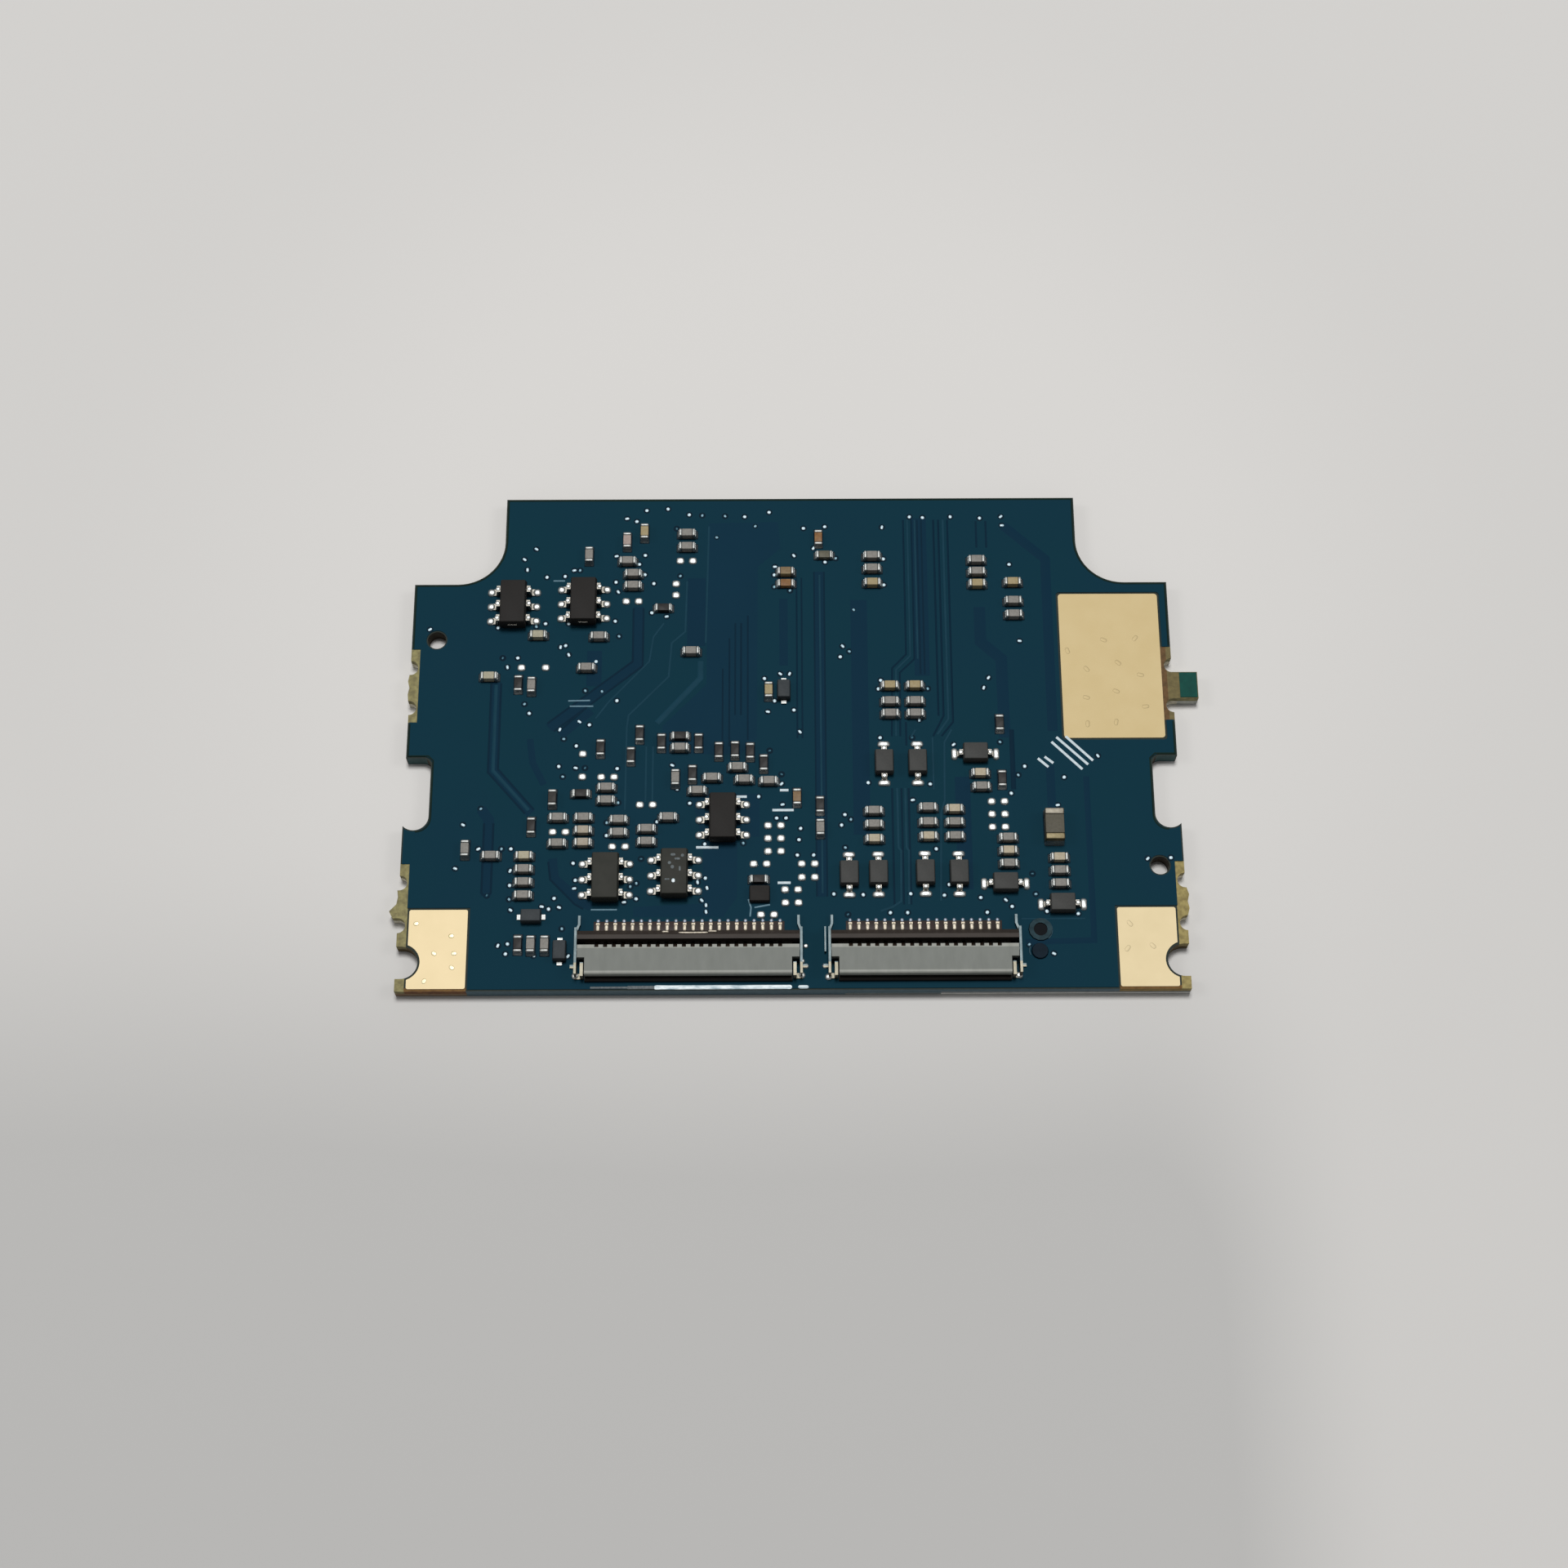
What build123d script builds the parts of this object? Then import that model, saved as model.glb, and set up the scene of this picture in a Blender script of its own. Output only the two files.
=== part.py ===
from build123d import *
import os

# A small keypad circuit board: a routed laminate board with two flat-cable sockets along its
# front edge, chips, diodes and ground pads on top, and gold key contacts on its underside.
#
# Millimetres. X runs along the front edge, Y towards the rear, Z up. The origin is the middle
# of the underside. Places on the board are given as x from the board's centre line and y from
# its front edge, and seat() turns them into the part's frame.

# --- board ---------------------------------------------------------------------------------
BOARD_WIDTH = 45.6
BOARD_DEPTH = 31.4
LAMINATE = 0.95
FOIL = 0.05  # solder mask and gold pads share one thickness
REAR_WIDTH = 34.8  # the narrower rear part
REAR_STEP = 5.75  # and its depth
SHOULDER_RADIUS = 2.8

SIDE_NOTCH_FRONT = 9.8
SIDE_NOTCH_REAR = 14.33
SIDE_NOTCH_DEPTH = 1.5
SIDE_NOTCH_ROUND = 0.87  # full round at the front end
SIDE_NOTCH_CORNER = 0.55  # inner corner at the rear end

SCREW_NOTCH_Y = 1.72
SCREW_NOTCH_RADIUS = 0.97
SCREW_NOTCH_INSET = 0.3  # its centre stands this far in from the side edge

LOCATING_HOLE_RADIUS = 0.55
LEFT_HOLE_INSET = 1.5
LEFT_HOLE_Y = 21.95
RIGHT_HOLE_INSET = 1.4
RIGHT_HOLE_Y = 7.45
HOLE_MASK_GAP = 0.08

# Four break-off tabs, each between two drilled bites. Their broken ends stand out of the edge.
BITE_RADIUS = 0.45
BITE_PITCH = 2.6
FRONT_TAB_Y = 5.25
REAR_TAB_Y = 18.85
REAR_LEFT_BREAK = (0.06, 0.1, 0.02, 0.12, 0.05)
FRONT_LEFT_BREAK = (0.3, 0.52, 0.12, 0.05, 0.1)
FRONT_RIGHT_BREAK = (0.04, 0.16, 0.08, 0.18, 0.06)
TAB_REACH = 1.5  # the rear right tab was cut off long
TAB_MASK_START = 0.42
TAB_MASK_INSET = 0.05

# --- solder mask and gold pads -------------------------------------------------------------
MASK_INSET = 0.09
BARE_STRIP = 0.54  # width of the bare laminate beside the tabs
FRONT_STRIP_END = 7.7
REAR_STRIP_START = 16.6
REAR_STRIP_END = 21.35
WINDOW_GAP = 0.12  # bare laminate round each gold pad

REAR_PAD_WIDTH = 6.0
REAR_PAD_DEPTH = 9.4
REAR_PAD_SIDE_GAP = 0.63
REAR_PAD_SHOULDER_GAP = 0.8
REAR_PAD_CORNER = 0.2
FRONT_PAD_WIDTH = 3.38
FRONT_PAD_DEPTH = 4.75
FRONT_PAD_SIDE_GAP = 0.67
FRONT_PAD_FRONT_GAP = 0.13
FRONT_PAD_CORNER = 0.12
PAD_NOTCH_GAP = 0.13  # between a front pad and the screw notch

# --- key contacts on the underside: a centre and a ring for each metal dome, in a window ---
KEY_COLUMNS = 3
KEY_ROWS = 4
KEY_PITCH_X = 14.0
KEY_PITCH_Y = 7.2
KEY_MIDDLE_Y = 15.7
KEY_CENTRE_RADIUS = 0.8
KEY_RING_INNER = 1.35
KEY_RING_OUTER = 2.0
KEY_WINDOW_GAP = 0.15
KEY_SIDES = 12  # the round contacts are drawn with few facets
KEY_SUNK = 0.01  # the contacts lie this far inside the underside

# --- flat-cable sockets --------------------------------------------------------------------
CONTACT_PITCH = 0.5
CONTACT_WIDTH = 0.2
CONTACT_SLOT_GAP = 0.01
CONTACT_STOCK = 0.12
CONTACT_TAIL_END = 4.0
CONTACT_RISE = 3.25  # where a contact climbs from its tail to the floor
CONTACT_TIP = 0.95
CONTACT_BUMP = 0.1

SOCKET_FRONT = 0.5
SOCKET_REAR = 3.45
FLOOR_TOP = 0.3
REAR_WALL_FRONT = 2.8
REAR_WALL_CREST = 3.05
REAR_WALL_SILL = 0.4
SOCKET_HEIGHT = 0.95
FLOOR_MARGIN = 0.7  # floor beyond the outermost contact
LEAD_IN = 0.08

LATCH_FRONT = 0.7
LATCH_REAR = 2.45
LATCH_BOTTOM = 0.52
LATCH_EDGE = 0.08
LATCH_MARGIN = 0.67
LATCH_EAR_FRONT = 1.7
LATCH_EAR_MARGIN = 1.1
PIVOT_Y = 2.2
PIVOT_Z = 0.68
PIN_RADIUS = 0.1
PIN_CLEARANCE = 0.03
TOOTH_NOTCH_WIDTH = 0.24
TOOTH_NOTCH_DEPTH = 0.15

CLIP_STOCK = 0.14
CLIP_GAP = 0.04  # between an ear of the latch and its clip
CLIP_HEIGHT = 0.9
CLIP_FRONT = 0.75
CLIP_TAIL_JOG = 0.15
CLIP_JOG_START = 3.5
CLIP_JOG_END = 3.88
CLIP_TAIL_END = 4.4
CLIP_TAIL_HEIGHT = 0.3
CLIP_TAB_Y = 1.4
CLIP_TAB_REACH = 0.28
POST_MARGIN = 0.75
POST_THICKNESS = 0.18
POST_FRONT = 0.65
POST_REAR = 1.45
POST_HEIGHT = 0.78
POST_FOOT = 0.3

LEFT_SOCKET_X = -5.97
LEFT_SOCKET_COUNT = 22
RIGHT_SOCKET_X = 7.57
RIGHT_SOCKET_COUNT = 18

# --- six-lead packages ---------------------------------------------------------------------
IC_LENGTH = 2.9
IC_WIDTH = 1.6
IC_HEIGHT = 1.05
IC_STANDOFF = 0.1
IC_PARTING = 0.6
IC_LEAD_PITCH = 0.95
IC_LEAD_WIDTH = 0.4
IC_LEAD_SPAN = 2.84
IC_PLACES = ((-16.73, 24.08), (-12.5, 24.25), (-10.83, 6.65), (-4.05, 10.32), (-6.84, 6.88))
DRAFT = 8  # degrees on every moulded package
LEAD_STOCK = 0.12

# --- two-lead diodes -----------------------------------------------------------------------
DIODE_LENGTH = 1.48
DIODE_WIDTH = 1.12
DIODE_HEIGHT = 0.7
DIODE_PARTING = 0.37
DIODE_LEAD_WIDTH = 0.32
DIODE_LEAD_SPAN = 2.46
UPRIGHT = 90  # leads point to the front and the rear
FLAT = 0  # leads point to the sides
REAR_DIODES = ((5.45, 13.83, UPRIGHT), (7.42, 13.83, UPRIGHT), (10.85, 14.42, FLAT))
FRONT_DIODES = ((3.3, 6.9, UPRIGHT), (5.0, 6.92, UPRIGHT), (7.72, 6.95, UPRIGHT), (9.68, 6.93, UPRIGHT))
RIGHT_DIODES = ((12.35, 6.32, FLAT), (15.6, 5.05, FLAT))

SMALL_DIODE_LENGTH = 1.2
SMALL_DIODE_WIDTH = 0.8
SMALL_DIODE_HEIGHT = 0.6
SMALL_DIODE_SPAN = 1.64
SMALL_DIODE_LEAD_WIDTH = 0.3
SMALL_DIODES = ((-15.08, 4.38, FLAT), (-13.38, 2.3, UPRIGHT), (-0.45, 18.5, UPRIGHT))

LEADLESS_WIDTH = 1.2
LEADLESS_DEPTH = 1.0
LEADLESS_HEIGHT = 0.4
LEADLESS_PLACE = (-1.9, 5.72)

# --- chips with soldered ends --------------------------------------------------------------
CHIP_LENGTH = 1.0
CHIP_WIDTH = 0.5
CAPACITOR_HEIGHT = 0.5
RESISTOR_HEIGHT = 0.36
CHIP_END = 0.24
CHIP_BODY_RELIEF = 0.02  # the ends stand this far proud of the body
STACK_PITCH = 0.8  # chips laid side by side

LARGE_LENGTH = 1.95
LARGE_WIDTH = 1.12
LARGE_HEIGHT = 0.85
LARGE_END = 0.45
LARGE_PLACE = (15.3, 9.77, UPRIGHT)

LAND_LENGTH = 0.5
LAND_WIDTH = 0.46
LAND_HEIGHT = 0.1
LAND_TAPER = 40
LAND_SPACING = 0.76
WIDE_LAND_SPACING = 1.45

DAB_RING_PLACE = (14.28, 3.55)
DAB_RING_OUTER = 0.7
DAB_RING_INNER = 0.4
DAB_RING_HEIGHT = 0.1
DAB_RING_SKIN = 0.03
DAB_TAPER = 20
DAB_SIDES = 14
DAB_PLACE = (14.2, 2.25)
DAB_RADIUS = 0.5
DAB_HEIGHT = 0.14

HALF_WIDTH = BOARD_WIDTH / 2
SHOULDER_Y = BOARD_DEPTH - REAR_STEP
BOARD_TOP = LAMINATE + FOIL
FROM_FRONT = Pos(0, -BOARD_DEPTH / 2, 0)


def seat(x, y, turn=0):
    """Where a piece stands on the board's top, turned about its own upright axis."""
    return Pos(x, y - BOARD_DEPTH / 2, BOARD_TOP) * Rot(0, 0, turn)


def stack(x, y, count):
    """Places of chips laid side by side, from the front one to the rear one."""
    return [(x, y + row * STACK_PITCH) for row in range(count)]


def save(name, pieces):
    """Writes one node: a single solid, or several separate solids."""
    pieces = pieces if isinstance(pieces, list) else [pieces]
    solids = [solid for piece in pieces for solid in piece.solids()]
    shape = solids[0] if len(solids) == 1 else Compound(solids)
    export_step(shape, f"parts/{name}.step")
    print(name, len(solids))


def block(x0, x1, y0, y1, z0, z1):
    """A box between two corners."""
    centre = Pos((x0 + x1) / 2, (y0 + y1) / 2, (z0 + z1) / 2)
    return centre * Box(x1 - x0, y1 - y0, z1 - z0)


def panel(x0, x1, y0, y1):
    """A flat rectangle between two corners."""
    return Pos((x0 + x1) / 2, (y0 + y1) / 2) * Rectangle(x1 - x0, y1 - y0)


def profile(points, half_length):
    """A section in Y and Z, drawn out to both sides of x = 0."""
    return extrude(Plane.YZ * Polygon(*points, align=None), amount=half_length, both=True)


# --- board ---------------------------------------------------------------------------------
def side_notch(side, inset):
    """Locating notch in a side edge: square at its rear, full round at its front."""
    wall = HALF_WIDTH - SIDE_NOTCH_DEPTH - inset
    round_radius = SIDE_NOTCH_ROUND + inset
    middle = SIDE_NOTCH_FRONT + SIDE_NOTCH_ROUND
    slot = panel(wall, HALF_WIDTH + 1, middle, SIDE_NOTCH_REAR + inset)
    corner = [v for v in slot.vertices() if v.X < HALF_WIDTH and v.Y > middle]
    slot = fillet(corner, SIDE_NOTCH_CORNER)
    slot += Pos(wall + round_radius, middle) * Circle(round_radius)
    return slot if side > 0 else mirror(slot, about=Plane.YZ)


def screw_notch(side, gap):
    """Round-ended notch for a screw at a front corner, widened all round by a gap."""
    radius = SCREW_NOTCH_RADIUS + gap
    centre = HALF_WIDTH - SCREW_NOTCH_INSET
    slot = panel(centre, HALF_WIDTH + 1, SCREW_NOTCH_Y - radius, SCREW_NOTCH_Y + radius)
    slot += Pos(centre, SCREW_NOTCH_Y) * Circle(radius)
    return slot if side > 0 else mirror(slot, about=Plane.YZ)


def bites(side, inset):
    """The four drilled bites of one side edge."""
    ys = [tab + half * BITE_PITCH / 2 for tab in (FRONT_TAB_Y, REAR_TAB_Y) for half in (-1, 1)]
    return [Pos(side * HALF_WIDTH, y) * Circle(BITE_RADIUS + inset) for y in ys]


def outline(inset=0.0):
    """The routed outline, taken in all round by an inset, without the broken tabs."""
    half = HALF_WIDTH - inset
    shape = panel(-half, half, inset, SHOULDER_Y - inset)
    rear = REAR_WIDTH / 2 - inset
    shape += panel(-rear, rear, inset, BOARD_DEPTH - inset)
    inner = [v for v in shape.vertices() if abs(v.Y - SHOULDER_Y + inset) < 0.01 and abs(v.X) < rear + 0.01]
    shape = fillet(inner, SHOULDER_RADIUS + inset)
    for side in (-1, 1):
        shape -= side_notch(side, inset)
        shape -= screw_notch(side, inset)
        shape -= bites(side, inset)
    return shape


def broken_tab(side, middle, reaches):
    """What is left of a tab between its bites: a broken end that reaches out unevenly."""
    width = BITE_PITCH - 2 * BITE_RADIUS
    step = width / (len(reaches) - 1)
    edge = [(side * (HALF_WIDTH + reach), middle - width / 2 + i * step) for i, reach in enumerate(reaches)]
    root = side * (HALF_WIDTH - 0.2)
    points = [(root, middle - width / 2), *edge, (root, middle + width / 2)]
    return make_face(Polyline(*points, close=True))


def locating_holes(gap=0.0):
    """The two locating holes, widened by a gap."""
    places = ((LEFT_HOLE_INSET - HALF_WIDTH, LEFT_HOLE_Y), (HALF_WIDTH - RIGHT_HOLE_INSET, RIGHT_HOLE_Y))
    return [Pos(x, y) * Circle(LOCATING_HOLE_RADIUS + gap) for x, y in places]


def key_places():
    """Centres of the key contacts."""
    grid = GridLocations(KEY_PITCH_X, KEY_PITCH_Y, KEY_COLUMNS, KEY_ROWS)
    return [FROM_FRONT * Pos(0, KEY_MIDDLE_Y, 0) * place for place in grid]


def key_round(radius):
    """A round outline of a key contact."""
    return RegularPolygon(radius, KEY_SIDES)


def key_foil(sketch):
    """Foil of one key contact, a little inside the underside."""
    return Pos(0, 0, KEY_SUNK) * extrude(sketch, amount=FOIL - KEY_SUNK)


def circuit_board():
    """The laminate with its notches, bites, holes, broken tabs and key contact windows."""
    shape = outline()
    shape += broken_tab(-1, REAR_TAB_Y, REAR_LEFT_BREAK)
    shape += broken_tab(1, REAR_TAB_Y, (TAB_REACH, TAB_REACH))
    shape += broken_tab(-1, FRONT_TAB_Y, FRONT_LEFT_BREAK)
    shape += broken_tab(1, FRONT_TAB_Y, FRONT_RIGHT_BREAK)
    shape -= locating_holes()
    board = FROM_FRONT * extrude(shape, amount=LAMINATE)
    window = extrude(key_round(KEY_RING_OUTER + KEY_WINDOW_GAP), amount=FOIL)
    return board - [place * window for place in key_places()]


def rear_pad(grow=0.0):
    """Outline of the large ground pad at the rear right, or of its window when grown."""
    right = HALF_WIDTH - REAR_PAD_SIDE_GAP + grow
    rear = SHOULDER_Y - REAR_PAD_SHOULDER_GAP + grow
    left = right - REAR_PAD_WIDTH - 2 * grow
    pad = panel(left, right, rear - REAR_PAD_DEPTH - 2 * grow, rear)
    return fillet(pad.vertices(), REAR_PAD_CORNER)


def front_pad(side):
    """Outline of a ground pad at a front corner, cut back from its screw notch."""
    outer = HALF_WIDTH - FRONT_PAD_SIDE_GAP
    front = FRONT_PAD_FRONT_GAP
    pad = panel(outer - FRONT_PAD_WIDTH, outer, front, front + FRONT_PAD_DEPTH)
    pad = fillet(pad.vertices(), FRONT_PAD_CORNER)
    pad = pad if side > 0 else mirror(pad, about=Plane.YZ)
    return pad - screw_notch(side, PAD_NOTCH_GAP)


def front_window(side):
    """Mask window of a front pad, open to the front edge and to the side edge."""
    inner = HALF_WIDTH - FRONT_PAD_SIDE_GAP - FRONT_PAD_WIDTH - WINDOW_GAP
    rear = FRONT_PAD_FRONT_GAP + FRONT_PAD_DEPTH + WINDOW_GAP
    window = panel(inner, HALF_WIDTH, -1, rear)
    return window if side > 0 else mirror(window, about=Plane.YZ)


def bare_strips(side):
    """The strips of bare laminate beside the two tabs of one side edge."""
    inner = HALF_WIDTH - BARE_STRIP
    strips = panel(inner, HALF_WIDTH + 1, -1, FRONT_STRIP_END)
    strips += panel(inner, HALF_WIDTH + 1, REAR_STRIP_START, REAR_STRIP_END)
    return strips if side > 0 else mirror(strips, about=Plane.YZ)


def on_laminate(sketch):
    """A thin layer that lies on top of the laminate."""
    return Pos(0, 0, LAMINATE) * FROM_FRONT * extrude(sketch, amount=FOIL)


def solder_mask():
    """The mask on the top face, open over the pads, the strips and the holes."""
    shape = outline(MASK_INSET) - rear_pad(WINDOW_GAP)
    for side in (-1, 1):
        shape -= front_window(side)
        shape -= bare_strips(side)
    shape -= locating_holes(HOLE_MASK_GAP)
    return on_laminate(shape)


def tab_mask():
    """The piece of mask left on the long tab."""
    half = BITE_PITCH / 2 - BITE_RADIUS - TAB_MASK_INSET
    start = HALF_WIDTH + TAB_MASK_START
    end = HALF_WIDTH + TAB_REACH - TAB_MASK_INSET
    return on_laminate(panel(start, end, REAR_TAB_Y - half, REAR_TAB_Y + half))


# --- flat-cable sockets --------------------------------------------------------------------
def row_half(count):
    """From the middle of a contact row to its outermost contact."""
    return (count - 1) * CONTACT_PITCH / 2


def contact_xs(count):
    """The contacts' places along their row."""
    return [-row_half(count) + i * CONTACT_PITCH for i in range(count)]


def socket_contact():
    """One stamped contact: a soldered tail, a step up, and a beam with a raised tip."""
    beam_bottom = FLOOR_TOP - CONTACT_STOCK
    bump = FLOOR_TOP + CONTACT_BUMP
    tip = CONTACT_TIP
    points = (
        (CONTACT_TAIL_END, 0),
        (CONTACT_TAIL_END, CONTACT_STOCK),
        (SOCKET_REAR + 0.12, CONTACT_STOCK),
        (SOCKET_REAR, FLOOR_TOP),
        (tip + 0.5, FLOOR_TOP),
        (tip + 0.3, bump),
        (tip + 0.1, FLOOR_TOP),
        (tip, beam_bottom),
        (CONTACT_RISE, beam_bottom),
        (CONTACT_RISE, 0),
    )
    return profile(points, CONTACT_WIDTH / 2)


def contact_slot():
    """What one contact takes out of the housing: a groove in the floor and a way out."""
    half = CONTACT_WIDTH / 2 + CONTACT_SLOT_GAP
    groove = block(-half, half, CONTACT_TIP, SOCKET_REAR, FLOOR_TOP - CONTACT_STOCK, FLOOR_TOP)
    way_out = block(-half, half, CONTACT_RISE, SOCKET_REAR, 0, FLOOR_TOP)
    return groove + way_out


def socket_housing(count):
    """The moulded housing: a floor with a groove for each contact, and a sloped rear wall."""
    floor = (
        (SOCKET_FRONT, 0),
        (REAR_WALL_FRONT, 0),
        (REAR_WALL_FRONT, FLOOR_TOP),
        (SOCKET_FRONT + LEAD_IN, FLOOR_TOP),
        (SOCKET_FRONT, FLOOR_TOP - LEAD_IN),
    )
    wall = (
        (REAR_WALL_FRONT, 0),
        (SOCKET_REAR, 0),
        (SOCKET_REAR, REAR_WALL_SILL),
        (REAR_WALL_CREST, SOCKET_HEIGHT),
        (REAR_WALL_FRONT, SOCKET_HEIGHT),
    )
    housing = profile(floor, row_half(count) + FLOOR_MARGIN)
    housing += profile(wall, row_half(count) + LATCH_EAR_MARGIN + CLIP_GAP)
    return housing - [Pos(x, 0, 0) * contact_slot() for x in contact_xs(count)]


def socket_latch(count):
    """The flip latch: a flat plate with ears and pivot pins, and a notch over each contact."""
    front = (
        (LATCH_FRONT, LATCH_BOTTOM),
        (LATCH_REAR, LATCH_BOTTOM),
        (LATCH_REAR, SOCKET_HEIGHT),
        (LATCH_FRONT + LATCH_EDGE, SOCKET_HEIGHT),
        (LATCH_FRONT, SOCKET_HEIGHT - LATCH_EDGE),
    )
    latch = profile(front, row_half(count) + LATCH_MARGIN)
    ear_end = row_half(count) + LATCH_EAR_MARGIN
    latch += block(-ear_end, ear_end, LATCH_EAR_FRONT, LATCH_REAR, LATCH_BOTTOM, SOCKET_HEIGHT)
    pin_end = ear_end + CLIP_GAP + CLIP_STOCK
    pin = Plane.YZ * Pos(PIVOT_Y, PIVOT_Z) * Circle(PIN_RADIUS)
    latch += extrude(pin, amount=pin_end, both=True)
    half = TOOTH_NOTCH_WIDTH / 2
    notch = block(-half, half, LATCH_REAR - TOOTH_NOTCH_DEPTH, LATCH_REAR, LATCH_BOTTOM, SOCKET_HEIGHT)
    return latch - [Pos(x, 0, 0) * notch for x in contact_xs(count)]


def socket_clip(count):
    """The sheet-metal clip of the socket's right end: it holds the pivot pin and is soldered down."""
    inner = row_half(count) + LATCH_EAR_MARGIN + CLIP_GAP
    outer = inner + CLIP_STOCK
    plate = block(inner, outer, CLIP_FRONT, CLIP_JOG_START, 0, CLIP_HEIGHT)
    hole = Plane.YZ * Pos(PIVOT_Y, PIVOT_Z) * Circle(PIN_RADIUS + PIN_CLEARANCE)
    plate -= extrude(hole, amount=outer + 1)
    jog = (
        (inner, CLIP_JOG_START),
        (outer, CLIP_JOG_START),
        (outer - CLIP_TAIL_JOG, CLIP_JOG_END),
        (outer - CLIP_TAIL_JOG, CLIP_TAIL_END),
        (inner - CLIP_TAIL_JOG, CLIP_TAIL_END),
        (inner - CLIP_TAIL_JOG, CLIP_JOG_END),
    )
    clip = plate + extrude(Polygon(*jog, align=None), amount=CLIP_TAIL_HEIGHT)
    clip += block(outer, outer + CLIP_TAB_REACH, CLIP_TAB_Y - 0.1, CLIP_TAB_Y + 0.1, 0, CONTACT_STOCK)
    post = row_half(count) + POST_MARGIN
    clip += block(post, post + POST_THICKNESS, POST_FRONT, POST_REAR, 0, POST_HEIGHT)
    clip += block(post, outer, POST_FRONT, POST_FRONT + POST_FOOT, 0, CONTACT_STOCK)
    return clip


def save_socket(name, x, count):
    """Writes the five nodes of one socket."""
    place = seat(x, 0)
    right = socket_clip(count)
    left = mirror(right, about=Plane.YZ)
    save(f"{name}_housing", place * socket_housing(count))
    save(f"{name}_latch", place * socket_latch(count))
    save(f"{name}_contacts", [place * Pos(at, 0, 0) * socket_contact() for at in contact_xs(count)])
    save(f"{name}_left_clip", place * left)
    save(f"{name}_right_clip", place * right)


# --- moulded packages and their leads ------------------------------------------------------
def moulded_package(length, width, height, parting, standoff):
    """A moulded body that narrows above and below its parting line."""
    waist = Pos(0, 0, parting) * Rectangle(length, width)
    upper = extrude(waist, amount=height - parting, taper=DRAFT)
    lower = extrude(waist, amount=standoff - parting, taper=DRAFT)
    return upper + lower


def gull_lead(body_half, foot_end, shoulder, width):
    """A bent lead that leaves a body at x = body_half and ends in a foot on the board."""
    low = shoulder - LEAD_STOCK / 2
    high = shoulder + LEAD_STOCK / 2
    points = (
        (body_half, low),
        (body_half + 0.07, low),
        (body_half + 0.14, 0),
        (foot_end, 0),
        (foot_end, LEAD_STOCK),
        (body_half + 0.28, LEAD_STOCK),
        (body_half + 0.21, high),
        (body_half, high),
    )
    return extrude(Plane.XZ * Polygon(*points, align=None), amount=width / 2, both=True)


def ic_leads():
    """The six leads of an integrated circuit."""
    lead = gull_lead(IC_WIDTH / 2, IC_LEAD_SPAN / 2, IC_PARTING, IC_LEAD_WIDTH)
    rows = [Pos(0, row * IC_LEAD_PITCH, 0) for row in (-1, 0, 1)]
    return [place * Rot(0, 0, turn) * lead for place in rows for turn in (0, 180)]


def save_ics():
    """Writes a package and its leads for each integrated circuit."""
    package = moulded_package(IC_WIDTH, IC_LENGTH, IC_HEIGHT, IC_PARTING, IC_STANDOFF)
    for number, (x, y) in enumerate(IC_PLACES, 1):
        place = seat(x, y)
        save(f"ic_{number}_package", place * package)
        save(f"ic_{number}_leads", [place * lead for lead in ic_leads()])


def save_diodes():
    """Writes each diode's package, and the leads of each group of diodes."""
    package = moulded_package(DIODE_LENGTH, DIODE_WIDTH, DIODE_HEIGHT, DIODE_PARTING, 0)
    lead = gull_lead(DIODE_LENGTH / 2, DIODE_LEAD_SPAN / 2, DIODE_PARTING, DIODE_LEAD_WIDTH)
    number = 0
    for group, places in (("rear", REAR_DIODES), ("front", FRONT_DIODES), ("right", RIGHT_DIODES)):
        leads = []
        for x, y, turn in places:
            number += 1
            save(f"diode_{number}_package", seat(x, y, turn) * package)
            leads += [seat(x, y, turn + end) * lead for end in (0, 180)]
        save(f"{group}_diode_leads", leads)


def save_small_packages():
    """Writes the three small diodes and the leadless package."""
    package = moulded_package(
        SMALL_DIODE_LENGTH, SMALL_DIODE_WIDTH, SMALL_DIODE_HEIGHT, SMALL_DIODE_HEIGHT / 2, 0
    )
    half = SMALL_DIODE_LEAD_WIDTH / 2
    foot = block(SMALL_DIODE_LENGTH / 2, SMALL_DIODE_SPAN / 2, -half, half, 0, LEAD_STOCK)
    leads = []
    for number, (x, y, turn) in enumerate(SMALL_DIODES, 1):
        save(f"small_diode_{number}_package", seat(x, y, turn) * package)
        leads += [seat(x, y, turn + end) * foot for end in (0, 180)]
    save("small_diode_leads", leads)
    leadless = moulded_package(LEADLESS_WIDTH, LEADLESS_DEPTH, LEADLESS_HEIGHT, LEADLESS_HEIGHT / 2, 0)
    save("leadless_package", seat(*LEADLESS_PLACE) * leadless)


# --- chips ---------------------------------------------------------------------------------
def chip_body(length, width, height, end):
    """The middle of a chip, a little smaller in section than its ends."""
    slim = width - 2 * CHIP_BODY_RELIEF
    return block(end - length / 2, length / 2 - end, -slim / 2, slim / 2, 0, height - CHIP_BODY_RELIEF)


def chip_ends(length, width, height, end):
    """The two metal ends of a chip."""
    right = block(length / 2 - end, length / 2, -width / 2, width / 2, 0, height)
    return [right, mirror(right, about=Plane.YZ)]


def save_chips(name, height, flat, upright):
    """Writes the bodies and the ends of all chips of one kind."""
    places = [seat(x, y) for x, y in flat] + [seat(x, y, UPRIGHT) for x, y in upright]
    body = chip_body(CHIP_LENGTH, CHIP_WIDTH, height, CHIP_END)
    ends = chip_ends(CHIP_LENGTH, CHIP_WIDTH, height, CHIP_END)
    save(f"{name}_bodies", [place * body for place in places])
    save(f"{name}_ends", [place * piece for place in places for piece in ends])


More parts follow.
